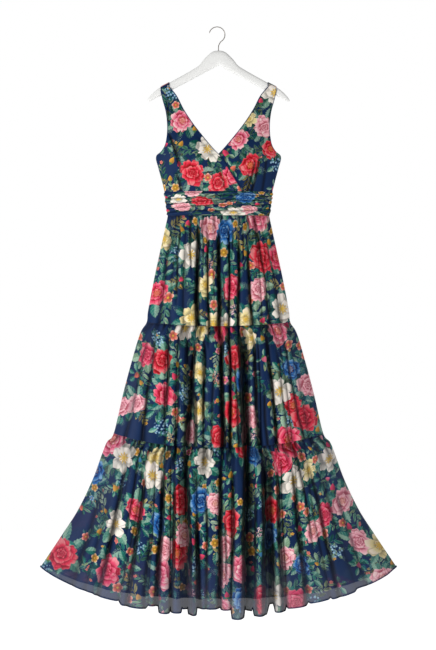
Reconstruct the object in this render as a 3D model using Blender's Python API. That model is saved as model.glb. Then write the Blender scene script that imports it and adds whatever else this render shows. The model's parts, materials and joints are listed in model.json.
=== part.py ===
"""A tiered maxi dress on a white hanger, in metres, +Z up, front towards -Y.

The origin is the inner top of the hanger's hook, where a rail holds it. Every cut piece of the
dress is a thin closed shell: an outer sheet of rows and columns, and the same sheet moved in by
the wall. Tables are in millimetres.
"""
import math

import bmesh
import bpy
from mathutils import Vector

MM = 0.001
WALL = 1.5          # cloth wall
BAND_WALL = 2.4     # ruched waistband wall
GAP = 0.3           # clearance between neighbouring pieces
LAP_LIFT = 2.2      # how far the upper front stands off the lower one

# hanger
HOOK_WIRE_R = 1.6
HOOK_R = 22.0
HOOK_CENTRE_X = -4.0
STEM_TOP_Z = -45.0
STEM_END_Z = -77.0
BORE_R = 2.0
BORE_END_Z = -77.5
STRAP_Y = 9.0       # strap's outer face from the middle of the arm, front to back
STRAP_Z = 14.5      # and over its top

# garment levels
UNDERARM_Z = -363.0
WAIST_TOP_Z = -461.0
WAIST_END_Z = -528.0
LEVEL_BELOW_Z = -230.0   # below this every wall is measured level

# x, top z, bottom z, half thickness of the hanger body, one side
HANGER = (
    (0.0, -65.0, -106.0, 9.0),
    (10.0, -65.8, -111.3, 9.0),
    (20.0, -70.0, -116.6, 8.8),
    (30.0, -78.5, -122.0, 8.5),
    (43.0, -92.0, -128.9, 8.0),
    (55.0, -107.0, -135.2, 7.4),
    (75.0, -120.0, -145.9, 6.8),
    (105.0, -137.0, -161.8, 6.5),
    (134.0, -153.0, -177.0, 6.5),
    (162.0, -167.5, -191.0, 6.5),
    (178.0, -179.0, -199.0, 6.2),
    (190.0, -191.0, -205.5, 5.4),
    (197.0, -199.5, -208.0, 3.4),
    (199.0, -202.5, -206.0, 1.6),
)

# outer edge x and z, inner edge x and z, of one front from the arm down to the waist
FRONT_EDGES = (
    (157.0, -202.0, 117.5, -192.0),
    (147.0, -240.0, 97.0, -232.0),
    (143.0, -284.0, 69.5, -275.0),
    (147.5, -326.0, 36.5, -318.0),
    (159.0, -348.0, 15.5, -343.0),
    (175.0, -363.0, -7.5, -368.0),
    (168.0, -395.0, -24.5, -395.0),
    (158.5, -430.0, -46.5, -430.0),
    (151.0, -461.0, -66.0, -461.0),
)

# the same for one half of the back, whose inner edge runs down the middle below the V
BACK_EDGES = (
    (157.0, -202.0, 118.5, -192.0),
    (147.0, -240.0, 98.5, -232.0),
    (143.0, -284.0, 71.5, -275.0),
    (147.5, -326.0, 39.5, -318.0),
    (159.0, -348.0, 19.5, -343.0),
    (175.0, -363.0, 0.0, -367.0),
    (168.0, -395.0, 0.0, -395.0),
    (158.5, -430.0, 0.0, -430.0),
    (151.0, -461.0, 0.0, -461.0),
)

# z, half width at the side, front depth, back depth of the bodice
BODICE = (
    (-150.0, 180.0, 9.0, 9.0),
    (-190.0, 180.0, 13.0, 11.0),
    (-240.0, 179.0, 24.0, 17.0),
    (-285.0, 178.0, 35.0, 22.0),
    (-326.0, 176.5, 45.0, 27.0),
    (-363.0, 175.0, 49.0, 30.0),
    (-395.0, 168.0, 47.0, 31.0),
    (-430.0, 158.5, 42.0, 31.0),
    (-461.0, 151.0, 38.0, 30.0),
)
BUST_X, BUST_Z, BUST_R, BUST_RISE = 88.0, -335.0, 52.0, 9.0

# top x and z, bottom x and z, depth (below 0 stands out), half width of each soft pleat
LEFT_PLEATS = (
    (-141.0, -290.0, -108.0, -400.0, 4.0, 9.0),
    (-120.0, -400.0, -104.0, -461.0, 3.5, 8.0),
    (-8.0, -385.0, 6.0, -461.0, -3.0, 9.0),
)
RIGHT_PLEATS = (
    (117.0, -352.0, 98.0, -461.0, 4.0, 8.0),
    (96.0, -372.0, 84.0, -461.0, 3.5, 7.0),
)

# z, half width at the side, front depth, back depth of the skirt
SKIRT = (
    (-528.0, 142.0, 36.0, 30.0),
    (-606.0, 159.0, 42.0, 36.0),
    (-698.0, 179.0, 46.0, 40.0),
    (-792.0, 197.0, 50.0, 43.0),
    (-825.0, 201.0, 50.0, 43.0),
    (-858.0, 220.0, 57.0, 50.0),
    (-942.0, 245.0, 62.0, 54.0),
    (-1029.0, 268.0, 66.0, 58.0),
    (-1135.0, 293.0, 68.0, 60.0),
    (-1160.0, 312.0, 73.0, 65.0),
    (-1191.0, 325.0, 76.0, 67.0),
    (-1267.0, 353.0, 79.0, 69.0),
    (-1350.0, 393.0, 82.0, 72.0),
    (-1420.0, 438.0, 84.0, 74.0),
    (-1508.0, 497.0, 86.0, 76.0),
)

# seam z at the front middle, back middle and side, and how late it turns up to the side
LEVELS = (
    (-528.0, -528.0, -528.0, 2.0),
    (-836.0, -836.0, -825.0, 2.0),
    (-1170.0, -1170.0, -1135.0, 2.4),
    (-1610.0, -1624.0, -1508.0, 3.0),
)

# each fold's start across the half width, at its top and bottom, then its rise at both
TIER1_FRONT_FOLDS = (
    (-1.00, -1.00, 1.0, 2.0),
    (-0.80, -0.82, 2.0, 6.0),
    (-0.61, -0.64, 3.0, 9.0),
    (-0.45, -0.47, 3.0, 10.0),
    (-0.29, -0.31, 3.0, 9.0),
    (-0.13, -0.15, 3.0, 10.0),
    (0.01, 0.00, 4.0, 13.0),
    (0.18, 0.16, 3.0, 8.0),
    (0.31, 0.29, 3.0, 11.0),
    (0.46, 0.45, 3.0, 10.0),
    (0.63, 0.64, 2.0, 8.0),
    (0.81, 0.83, 1.0, 3.0),
    (1.00, 1.00, 0.0, 0.0),
)
TIER1_BACK_FOLDS = (
    (-1.00, -1.00, 1.0, 2.0),
    (-0.76, -0.80, 2.0, 7.0),
    (-0.53, -0.57, 3.0, 10.0),
    (-0.30, -0.33, 3.0, 9.0),
    (-0.10, -0.12, 4.0, 12.0),
    (0.12, 0.10, 3.0, 9.0),
    (0.33, 0.31, 3.0, 11.0),
    (0.55, 0.57, 2.0, 8.0),
    (0.78, 0.80, 1.0, 3.0),
    (1.00, 1.00, 0.0, 0.0),
)
TIER2_FRONT_FOLDS = (
    (-1.00, -1.00, 1.0, 2.0),
    (-0.82, -0.84, 2.0, 6.0),
    (-0.68, -0.68, 4.0, 10.0),
    (-0.54, -0.54, 4.0, 11.0),
    (-0.40, -0.38, 5.0, 13.0),
    (-0.27, -0.25, 5.0, 12.0),
    (-0.12, -0.11, 5.0, 14.0),
    (0.03, 0.03, 4.0, 9.0),
    (0.12, 0.12, 5.0, 13.0),
    (0.26, 0.24, 5.0, 15.0),
    (0.40, 0.38, 4.0, 12.0),
    (0.53, 0.51, 4.0, 11.0),
    (0.67, 0.67, 3.0, 8.0),
    (0.83, 0.84, 1.0, 3.0),
    (1.00, 1.00, 0.0, 0.0),
)
TIER2_BACK_FOLDS = (
    (-1.00, -1.00, 1.0, 2.0),
    (-0.80, -0.82, 3.0, 7.0),
    (-0.61, -0.62, 4.0, 11.0),
    (-0.42, -0.42, 4.0, 10.0),
    (-0.25, -0.24, 5.0, 14.0),
    (-0.06, -0.06, 4.0, 11.0),
    (0.12, 0.12, 5.0, 13.0),
    (0.31, 0.30, 4.0, 10.0),
    (0.49, 0.50, 4.0, 12.0),
    (0.68, 0.70, 3.0, 7.0),
    (0.84, 0.85, 1.0, 3.0),
    (1.00, 1.00, 0.0, 0.0),
)
TIER3_FRONT_FOLDS = (
    (-1.00, -1.00, 1.0, 2.0),
    (-0.86, -0.83, 3.0, 5.0),
    (-0.74, -0.67, 4.0, 9.0),
    (-0.63, -0.51, 6.0, 15.0),
    (-0.53, -0.362, 8.0, 22.0),
    (-0.41, -0.264, 8.0, 20.0),
    (-0.28, -0.186, 8.0, 24.0),
    (-0.16, -0.10, 7.0, 14.0),
    (0.00, -0.02, 7.0, 12.0),
    (0.10, 0.052, 9.0, 27.0),
    (0.26, 0.17, 9.0, 24.0),
    (0.43, 0.288, 8.0, 20.0),
    (0.58, 0.375, 7.0, 14.0),
    (0.70, 0.47, 5.0, 13.0),
    (0.80, 0.60, 4.0, 9.0),
    (0.89, 0.75, 2.0, 4.0),
    (1.00, 1.00, 0.0, 0.0),
)
# how far each of those folds droops at the hem
TIER3_FRONT_DROPS = (
    0.0, 0.0, 2.0, 10.0, 13.0, 11.0, 16.0, 1.0,
    0.0, 26.0, 20.0, 14.0, 5.0, 17.0, 8.0, 4.0,
)
TIER3_BACK_FOLDS = (
    (-1.00, -1.00, 1.0, 2.0),
    (-0.82, -0.80, 3.0, 7.0),
    (-0.64, -0.60, 5.0, 13.0),
    (-0.47, -0.42, 7.0, 19.0),
    (-0.30, -0.25, 8.0, 22.0),
    (-0.13, -0.10, 7.0, 18.0),
    (0.05, 0.05, 8.0, 23.0),
    (0.22, 0.20, 7.0, 18.0),
    (0.39, 0.37, 7.0, 20.0),
    (0.56, 0.55, 5.0, 12.0),
    (0.74, 0.74, 3.0, 6.0),
    (0.88, 0.88, 1.0, 3.0),
    (1.00, 1.00, 0.0, 0.0),
)
STRAIGHT = ((-1.00, -1.00, 0.0, 0.0), (1.00, 1.00, 0.0, 0.0))
FOLD_ROUND = 0.55     # how much broader a fold's crown is than its valley
PLAN_POWER = 2.4      # plan section of the skirt, between an ellipse and a box
GATHER_SHARE = 0.16   # share of a tier in which its own folds take over from the seam above


# ---------------------------------------------------------------- small helpers
def clear_scene():
    for ob in list(bpy.data.objects):
        bpy.data.objects.remove(ob, do_unlink=True)


def smooth(t):
    t = min(max(t, 0.0), 1.0)
    return t * t * (3.0 - 2.0 * t)


def mix(a, b, t):
    return a + (b - a) * t


def along(table, key, column):
    """Value of a column where the table's first column, rising or falling, reaches the key."""
    rows = table if table[0][0] < table[-1][0] else table[::-1]
    if key <= rows[0][0]:
        return rows[0][column]
    for low, high in zip(rows, rows[1:]):
        if key <= high[0]:
            return mix(low[column], high[column], (key - low[0]) / (high[0] - low[0]))
    return rows[-1][column]


def material(name, colour, roughness, metallic=0.0):
    mat = bpy.data.materials.new(name)
    mat.use_nodes = True
    shader = mat.node_tree.nodes["Principled BSDF"]
    shader.inputs["Base Color"].default_value = (*colour, 1.0)
    shader.inputs["Roughness"].default_value = roughness
    shader.inputs["Metallic"].default_value = metallic
    return mat


def add_object(name, bm, mat, smooth_faces=False):
    bmesh.ops.recalc_face_normals(bm, faces=bm.faces[:])
    for face in bm.faces:
        face.smooth = smooth_faces
    mesh = bpy.data.meshes.new(name)
    bm.to_mesh(mesh)
    bm.free()
    mesh.materials.append(mat)
    ob = bpy.data.objects.new(name, mesh)
    bpy.context.scene.collection.objects.link(ob)
    return ob


# ---------------------------------------------------------------- cloth shells
def add_rows(bm, rows):
    """A sheet of quads through rows of (x, y, z) in millimetres."""
    grid = [[bm.verts.new(Vector(point) * MM) for point in row] for row in rows]
    for upper, lower in zip(grid, grid[1:]):
        for left in range(len(upper) - 1):
            corners = (upper[left], lower[left], lower[left + 1], upper[left + 1])
            bm.faces.new(corners)


def face_outwards(bm, side):
    """Turns the sheet so that its faces look to the front (-1) or the back (+1)."""
    bmesh.ops.recalc_face_normals(bm, faces=bm.faces[:])
    lean = sum(face.normal.y * face.calc_area() for face in bm.faces)
    if lean * side < 0.0:
        bmesh.ops.reverse_faces(bm, faces=bm.faces[:])
    bm.normal_update()


def wall_step(vert, wall):
    """The step from the outer face of the cloth to its inner face."""
    normal = vert.normal.copy()
    factor = min(vert.calc_shell_factor(), 1.5)
    if abs(vert.co.y) < GAP * MM:
        normal = Vector((math.copysign(1.0, vert.co.x), 0.0, 0.0))
        factor = 1.0
    if vert.co.z < LEVEL_BELOW_Z * MM:
        normal.z = 0.0
    return normal.normalized() * (-wall * MM * factor)


def cloth(name, bm, side, wall, mat):
    """Closes a sheet into a shell of the given wall, with square edges."""
    face_outwards(bm, side)
    outer_faces = bm.faces[:]
    rim = [edge for edge in bm.edges if edge.is_boundary]
    inner = {vert: bm.verts.new(vert.co + wall_step(vert, wall)) for vert in bm.verts[:]}
    for face in outer_faces:
        bm.faces.new([inner[vert] for vert in reversed(face.verts)])
    for edge in rim:
        a, b = edge.verts
        bm.faces.new((a, b, inner[b], inner[a]))
    return add_object(name, bm, mat)


# ---------------------------------------------------------------- bodice
def arm_middle(x):
    return 0.5 * (along(HANGER, abs(x), 1) + along(HANGER, abs(x), 2))


def plan_y(x, half_width, depth, power):
    share = min(abs(x) / half_width, 1.0)
    return depth * math.sqrt(max(1.0 - share ** power, 0.0))


def pleat_depth(pleats, x, z):
    """Depth of the soft bodice pleats at a point of a front."""
    total = 0.0
    for top_x, top_z, end_x, end_z, depth, reach in pleats:
        run = (z - top_z) / (end_z - top_z)
        fade = smooth(run * 3.0) * smooth((1.12 - run) * 6.0)
        off = (x - mix(top_x, end_x, run)) / reach
        total += depth * fade * math.exp(-off * off)
    return total


def bodice_y(x, z, side, pleats):
    """Outer face of the bodice below the arm, front (-1) or back (+1)."""
    half_width = along(BODICE, z, 1)
    depth = along(BODICE, z, 2 if side < 0 else 3)
    y = plan_y(x, half_width, depth, 2.0)
    if side < 0:
        off = ((abs(x) - BUST_X) / BUST_R) ** 2 + ((z - BUST_Z) / BUST_R) ** 2
        inside = smooth((half_width - abs(x)) / 30.0)
        y += (BUST_RISE * math.exp(-off) - pleat_depth(pleats, x, z)) * inside
    return side * max(y, GAP / 2.0)


def strap_point(x, angle, side):
    """On the strap round the arm, by the angle from straight up."""
    y = side * STRAP_Y * math.sin(math.radians(angle))
    return (x, y, arm_middle(x) + STRAP_Z * math.cos(math.radians(angle)))


def bodice_rows(edges, side, columns, strap_angles, hand, lift, pleats=()):
    """Rows of one side of the bodice, from the strap down to the waist."""
    spacing = [(index / columns) ** 1.35 for index in range(columns + 1)]
    rows = []
    for angle in strap_angles:
        rows.append([strap_point(hand * mix(162.0, 138.0, t), angle, side) for t in spacing])
    for outer_x, outer_z, inner_x, inner_z in edges:
        row = []
        for t in spacing:
            x = hand * mix(outer_x, inner_x, t)
            z = mix(outer_z, inner_z, t)
            ease = smooth((-z - 165.0) / 55.0)
            y = mix(side * STRAP_Y, bodice_y(x, z, side, pleats), ease)
            if t == 0.0 and outer_z <= UNDERARM_Z:
                y = side * GAP / 2.0
            y += lift(x, z)
            row.append((x, y, z + (GAP / 2.0 if outer_z <= WAIST_TOP_Z else 0.0)))
        rows.append(row)
    return rows


def no_lift(x, z):
    return 0.0


def lap_lift(x, z):
    return -LAP_LIFT * smooth((x + 118.0) / 44.0) * smooth((-z - 300.0) / 50.0)


def build_bodice(chiffon):
    angles = (39.0, 50.0, 70.0, 90.0)
    left = bmesh.new()
    add_rows(left, bodice_rows(FRONT_EDGES, -1, 12, angles, -1, lap_lift, LEFT_PLEATS))
    cloth("bodice_front_left", left, -1, WALL, chiffon)
    right = bmesh.new()
    add_rows(right, bodice_rows(FRONT_EDGES, -1, 12, angles, 1, no_lift, RIGHT_PLEATS))
    cloth("bodice_front_right", right, -1, WALL, chiffon)
    back = bmesh.new()
    angles = (-35.0, -24.0, -6.0, 14.0, 38.0, 64.0, 90.0)
    add_rows(back, bodice_rows(BACK_EDGES, 1, 8, angles, -1, no_lift))
    add_rows(back, bodice_rows(BACK_EDGES, 1, 8, angles, 1, no_lift))
    bmesh.ops.remove_doubles(back, verts=back.verts[:], dist=0.00001)
    cloth("bodice_back", back, 1, WALL, chiffon)


# ---------------------------------------------------------------- waistband
BAND_COLUMNS = 14
BAND_ROWS = 10
BAND_PLEATS = 5
BAND_RISE = 2.2


def band_point(angle, share, side):
    """Outer face of the waistband: level ruched pleats that sag a little off the middle."""
    half_width = mix(151.0, 142.0, share)
    depth = mix(38.0, 36.0, share) if side < 0 else 30.0
    sag = 0.10 * math.sin(angle) * math.sin(math.pi * share)
    wave = abs(math.sin(math.pi * BAND_PLEATS * (share + sag)))
    rise = BAND_RISE * wave * smooth(share * 12.0) * smooth((1.0 - share) * 12.0) + 0.5
    x = (half_width + rise) * math.sin(angle)
    y = side * (depth + rise) * math.cos(angle)
    top, bottom = WAIST_TOP_Z - GAP / 2.0, WAIST_END_Z + GAP / 2.0
    if abs(y) < GAP:
        y = side * GAP / 2.0
    return (x, y, mix(top, bottom, share))


def build_waistband(chiffon):
    for name, side in (("waistband_front", -1), ("waistband_back", 1)):
        bm = bmesh.new()
        rows = []
        for row in range(BAND_ROWS + 1):
            turns = [mix(-0.5, 0.5, c / BAND_COLUMNS) * math.pi for c in range(BAND_COLUMNS + 1)]
            rows.append([band_point(turn, row / BAND_ROWS, side) for turn in turns])
        add_rows(bm, rows)
        cloth(name, bm, side, BAND_WALL, chiffon)


# ---------------------------------------------------------------- skirt tiers
def level_z(level, share, side):
    front_middle, back_middle, at_side, power = LEVELS[level]
    middle = front_middle if side < 0 else back_middle
    return mix(middle, at_side, min(abs(share), 1.0) ** power)


def seam_ripple(folds, share):
    """How far the folds that end on a seam stand out there."""
    for this, following in zip(folds, folds[1:]):
        if share <= following[1]:
            run = (share - this[1]) / (following[1] - this[1])
            return this[3] * 0.5 * (1.0 - math.cos(2.0 * math.pi * run))
    return 0.0


def tier_point(level, folds, above, fold, run, share, side):
    """A point of a tier by fold, by place in the fold, and by its share of the way down."""
    this, following = folds[fold], folds[fold + 1]
    take_over = smooth(share / GATHER_SHARE)
    settle = smooth((1.0 - share) / 0.12) if level < 3 else 1.0
    roundness = FOLD_ROUND * take_over * settle
    if this[0] <= -1.0 or following[0] >= 1.0:
        roundness = 0.0
    place = run - roundness / (2.0 * math.pi) * math.sin(2.0 * math.pi * run)
    across = mix(mix(this[0], following[0], place), mix(this[1], following[1], place), share)
    crown = 0.5 * (1.0 - math.cos(2.0 * math.pi * run))
    rise = mix(seam_ripple(above, across), mix(this[2], this[3], share) * crown, take_over)
    side_z = mix(LEVELS[level - 1][2], LEVELS[level][2], share)
    half_width = along(SKIRT, side_z, 1)
    depth = along(SKIRT, side_z, 2 if side < 0 else 3)
    y = plan_y(across * half_width, half_width, depth, PLAN_POWER) + rise
    z = mix(level_z(level - 1, across, side), level_z(level, across, side), share)
    if folds is TIER3_FRONT_FOLDS:
        z -= TIER3_FRONT_DROPS[fold] * crown * share * share
    if share == 0.0:
        z -= GAP / 2.0
    if share == 1.0 and level < 3:
        z += GAP / 2.0
    return (across * half_width, side * max(y, GAP / 2.0), z)


def tier_columns(folds, per_fold):
    """Pairs of fold number and place in it, closer together round the side seams."""
    last = len(folds) - 2
    places = []
    for fold in range(len(folds) - 1):
        steps = [index / per_fold for index in range(per_fold)]
        if fold == 0:
            steps = [0.0, 0.06, 0.2, 0.5, 0.75]
        if fold == last:
            steps = [0.0, 0.25, 0.5, 0.8, 0.94, 1.0]
        places += [(fold, step) for step in steps]
    return places


def build_tier(name, level, folds, above, side, per_fold, rows, mat):
    bm = bmesh.new()
    columns = tier_columns(folds, per_fold)
    grid = []
    for share in rows:
        grid.append([tier_point(level, folds, above, f, r, share, side) for f, r in columns])
    add_rows(bm, grid)
    cloth(name, bm, side, WALL, mat)


def build_skirt(chiffon, sheer):
    upper = (0.0, 0.08, 0.22, 0.55, 1.0)
    lower = (0.0, 0.06, 0.16, 0.35, 0.58, 0.8, 1.0)
    build_tier("tier1_front", 1, TIER1_FRONT_FOLDS, STRAIGHT, -1, 4, upper, chiffon)
    build_tier("tier1_back", 1, TIER1_BACK_FOLDS, STRAIGHT, 1, 3, upper, chiffon)
    build_tier("tier2_front", 2, TIER2_FRONT_FOLDS, TIER1_FRONT_FOLDS, -1, 4, upper, chiffon)
    build_tier("tier2_back", 2, TIER2_BACK_FOLDS, TIER1_BACK_FOLDS, 1, 3, upper, chiffon)
    build_tier("tier3_front", 3, TIER3_FRONT_FOLDS, TIER2_FRONT_FOLDS, -1, 4, lower, sheer)
    build_tier("tier3_back", 3, TIER3_BACK_FOLDS, TIER2_BACK_FOLDS, 1, 3, lower, sheer)


# ---------------------------------------------------------------- hanger
RING = 12


def hanger_ring(bm, x, top, bottom, half_thickness):
    """A rounded section of the hanger body across X."""
    middle, half_height = 0.5 * (top + bottom), 0.5 * (top - bottom)
    ring = []
    for index in range(RING):
        turn = 2.0 * math.pi * (index + 0.5) / RING
        y = half_thickness * math.copysign(abs(math.sin(turn)) ** 0.8, math.sin(turn))
        z = middle + half_height * math.copysign(abs(math.cos(turn)) ** 0.9, math.cos(turn))
        ring.append(bm.verts.new(Vector((x, y, z)) * MM))
    return ring


def build_hanger_body(paint):
    bm = bmesh.new()
    left = [(-x, top, bottom, half) for x, top, bottom, half in HANGER[:0:-1]]
    rings = [hanger_ring(bm, *row) for row in left + list(HANGER)]
    for this, following in zip(rings, rings[1:]):
        for index in range(RING):
            nxt = (index + 1) % RING
            bm.faces.new((this[index], this[nxt], following[nxt], following[index]))
    bm.faces.new(rings[0])
    bm.faces.new(rings[-1])
    body = add_object("hanger_body", bm, paint, smooth_faces=True)

    drill = bmesh.new()
    bmesh.ops.create_cone(drill, cap_ends=True, segments=12, radius1=BORE_R * MM,
                          radius2=BORE_R * MM, depth=30.0 * MM)
    bmesh.ops.translate(drill, verts=drill.verts[:], vec=(0, 0, (BORE_END_Z + 15.0) * MM))
    cutter = add_object("bore_cutter", drill, paint)
    cutter.hide_render = True
    cutter.display_type = "WIRE"
    bore = body.modifiers.new("hook bore", "BOOLEAN")
    bore.operation = "DIFFERENCE"
    bore.solver = "EXACT"
    bore.object = cutter


def hook_path():
    """Middle line of the wire: the open circle from its tip, the neck bend and the stem."""
    centre_z = -(HOOK_R - HOOK_WIRE_R)
    points = []
    for step in range(21):
        turn = math.radians(mix(168.0, -62.0, step / 20.0))
        x = HOOK_CENTRE_X + HOOK_R * math.cos(turn)
        points.append((x, centre_z + HOOK_R * math.sin(turn)))
    start_x, start_z = points[-1]
    for share in (0.3, 0.62, 0.86):
        points.append((start_x * (1.0 - share) ** 1.6, mix(start_z, STEM_TOP_Z - 6.0, share)))
    points.append((0.0, STEM_TOP_Z - 9.0))
    points.append((0.0, STEM_END_Z + GAP))
    return points


def build_hook(steel):
    bm = bmesh.new()
    points = [Vector((x, 0.0, z)) for x, z in hook_path()]
    rings = []
    for index, point in enumerate(points):
        before = points[max(index - 1, 0)]
        after = points[min(index + 1, len(points) - 1)]
        heading = (after - before).normalized()
        sideways = Vector((heading.z, 0.0, -heading.x))
        ring = []
        for corner in range(8):
            turn = 2.0 * math.pi * corner / 8.0
            out = sideways * math.cos(turn) + Vector((0.0, 1.0, 0.0)) * math.sin(turn)
            ring.append(bm.verts.new((point + out * HOOK_WIRE_R) * MM))
        rings.append(ring)
    for this, following in zip(rings, rings[1:]):
        for corner in range(8):
            nxt = (corner + 1) % 8
            bm.faces.new((this[corner], this[nxt], following[nxt], following[corner]))
    bm.faces.new(rings[0])
    bm.faces.new(rings[-1])
    add_object("hanger_hook", bm, steel, smooth_faces=True)


def build():
    clear_scene()
    chiffon = material("chiffon", (0.030, 0.045, 0.120), 0.75)
    sheer = material("chiffon_sheer", (0.036, 0.052, 0.130), 0.75)
    paint = material("hanger_white", (0.86, 0.85, 0.83), 0.35)
    steel = material("hook_steel", (0.62, 0.62, 0.63), 0.25, 1.0)
    build_hanger_body(paint)
    build_hook(steel)
    build_bodice(chiffon)
    build_waistband(chiffon)
    build_skirt(chiffon, sheer)


build()
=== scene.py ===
# %% [markdown]
# # A tiered chiffon maxi dress on its hanger
# This lesson dresses a plain solid model of a maxi dress in real-looking cloth. The solids give
# the sizes and the main folds. Here each cut piece becomes a thin sheet with its gathers, creases
# and rolled hem, and the printed chiffon is drawn wholly with shader nodes.

# %% Load the frame and measure it
import json
import math

import bmesh
import bpy
import numpy as np
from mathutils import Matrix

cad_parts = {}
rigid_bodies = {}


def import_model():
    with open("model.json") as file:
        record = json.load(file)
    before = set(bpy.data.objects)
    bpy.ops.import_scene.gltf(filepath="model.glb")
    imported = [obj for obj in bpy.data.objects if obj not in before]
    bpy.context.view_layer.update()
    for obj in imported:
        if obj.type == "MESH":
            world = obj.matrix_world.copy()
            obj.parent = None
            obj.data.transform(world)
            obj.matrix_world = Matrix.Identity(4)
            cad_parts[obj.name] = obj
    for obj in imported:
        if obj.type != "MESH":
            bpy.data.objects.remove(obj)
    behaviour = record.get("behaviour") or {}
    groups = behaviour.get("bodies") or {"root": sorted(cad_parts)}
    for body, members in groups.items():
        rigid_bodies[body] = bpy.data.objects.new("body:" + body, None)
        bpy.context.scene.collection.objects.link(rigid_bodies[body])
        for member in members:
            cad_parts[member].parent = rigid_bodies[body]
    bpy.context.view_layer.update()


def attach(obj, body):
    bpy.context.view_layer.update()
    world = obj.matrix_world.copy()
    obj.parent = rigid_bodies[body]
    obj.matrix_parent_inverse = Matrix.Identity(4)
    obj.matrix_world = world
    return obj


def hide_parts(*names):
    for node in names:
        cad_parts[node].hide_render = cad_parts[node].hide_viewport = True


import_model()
MM = 0.001
scene = bpy.context.scene

# %% [markdown]
# ## The camera
# A dress for sale is shown from straight ahead through a long lens, so that the hanger and the
# hem keep their true widths. The camera stands level with the seam under the skirt's top tier.

# %% Camera straight ahead, 4.5 m away
CAMERA_Z, CAMERA_DISTANCE, FRAME_HEIGHT = -0.833, 4.5, 1.82
lens = bpy.data.cameras.new("camera")
lens.sensor_width = 36.0
lens.lens = lens.sensor_width * CAMERA_DISTANCE / FRAME_HEIGHT
camera = bpy.data.objects.new("camera", lens)
camera.location = (-0.0014, -CAMERA_DISTANCE, CAMERA_Z)
camera.rotation_euler = (math.radians(90.0), 0.0, 0.0)
scene.collection.objects.link(camera)
scene.camera = camera
print("lens:", round(lens.lens, 1), "mm")

# %% [markdown]
# ## Measuring the form
# The dress is described by a few tables in millimetres: how wide and deep the skirt is at each
# height, where the seams run, and where each fold starts and ends. A smooth curve is drawn through
# the rows, because cloth has no corners where a tape measure was held.

# %% Smooth curves through short tables
def smooth(t):
    t = np.clip(t, 0.0, 1.0)
    return t * t * (3.0 - 2.0 * t)


def mix(a, b, t):
    return a + (b - a) * t


def through_rows(table, at):
    """A smooth curve through the rows of a table, read at fractional row numbers."""
    rows = np.asarray(table, dtype=float)
    at = np.clip(at, 0.0, len(rows) - 1.0)
    here = np.minimum(at.astype(int), len(rows) - 2)
    t = (at - here)[..., None]
    before, after = rows[np.maximum(here - 1, 0)], rows[np.minimum(here + 2, len(rows) - 1)]
    a, b = rows[here], rows[here + 1]
    slope_a, slope_b = 0.5 * (b - before), 0.5 * (after - a)
    t2, t3 = t * t, t * t * t
    return ((2 * t3 - 3 * t2 + 1) * a + (t3 - 2 * t2 + t) * slope_a
            + (3 * t2 - 2 * t3) * b + (t3 - t2) * slope_b)


def curves_of(table):
    """Functions of a table's first column, one for each of its other columns."""
    dense = through_rows(table, np.linspace(0, len(table) - 1, 40 * len(table)))
    dense = dense[np.argsort(dense[:, 0])]
    return [lambda key, c=c: np.interp(key, dense[:, 0], dense[:, c])
            for c in range(1, dense.shape[1])]


# %% The skirt's sizes, its seam levels and its folds
# z, half width at the side, front depth, back depth
SKIRT = (
    (-528.0, 142.0, 36.0, 30.0), (-606.0, 159.0, 42.0, 36.0),
    (-698.0, 179.0, 46.0, 40.0), (-792.0, 197.0, 50.0, 43.0),
    (-825.0, 201.0, 50.0, 43.0), (-858.0, 220.0, 57.0, 50.0),
    (-942.0, 245.0, 62.0, 54.0), (-1029.0, 268.0, 66.0, 58.0),
    (-1135.0, 293.0, 68.0, 60.0), (-1160.0, 312.0, 73.0, 65.0),
    (-1191.0, 325.0, 76.0, 67.0), (-1267.0, 353.0, 79.0, 69.0),
    (-1350.0, 393.0, 82.0, 72.0), (-1420.0, 438.0, 84.0, 74.0),
    (-1508.0, 497.0, 86.0, 76.0),
)
# seam z at the front middle, back middle and side, and how late it turns up to the side
LEVELS = (
    (-528.0, -528.0, -528.0, 2.0), (-836.0, -836.0, -825.0, 2.0),
    (-1170.0, -1170.0, -1135.0, 2.4), (-1610.0, -1613.0, -1508.0, 2.8),
)
# each fold's start across the half width, at its top and bottom, then its rise at both
TIER1_FRONT_FOLDS = (
    (-1.00, -1.00, 1.0, 2.0), (-0.89, -0.83, 2.0, 5.0), (-0.77, -0.68, 3.0, 7.0),
    (-0.62, -0.48, 3.0, 8.0), (-0.41, -0.295, 4.0, 11.0), (-0.22, -0.135, 3.0, 9.0),
    (0.015, 0.005, 4.0, 10.0), (0.20, 0.145, 3.0, 8.0), (0.39, 0.275, 4.0, 9.0),
    (0.54, 0.44, 3.0, 8.0), (0.70, 0.60, 3.0, 7.0), (0.82, 0.73, 2.0, 5.0),
    (0.93, 0.88, 1.0, 3.0), (1.00, 1.00, 0.0, 0.0),
)
TIER1_BACK_FOLDS = (
    (-1.00, -1.00, 1.0, 2.0), (-0.76, -0.80, 2.0, 7.0), (-0.53, -0.57, 3.0, 10.0),
    (-0.30, -0.33, 3.0, 9.0), (-0.10, -0.12, 4.0, 12.0), (0.12, 0.10, 3.0, 9.0),
    (0.33, 0.31, 3.0, 11.0), (0.55, 0.57, 2.0, 8.0), (0.78, 0.80, 1.0, 3.0),
    (1.00, 1.00, 0.0, 0.0),
)
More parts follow.
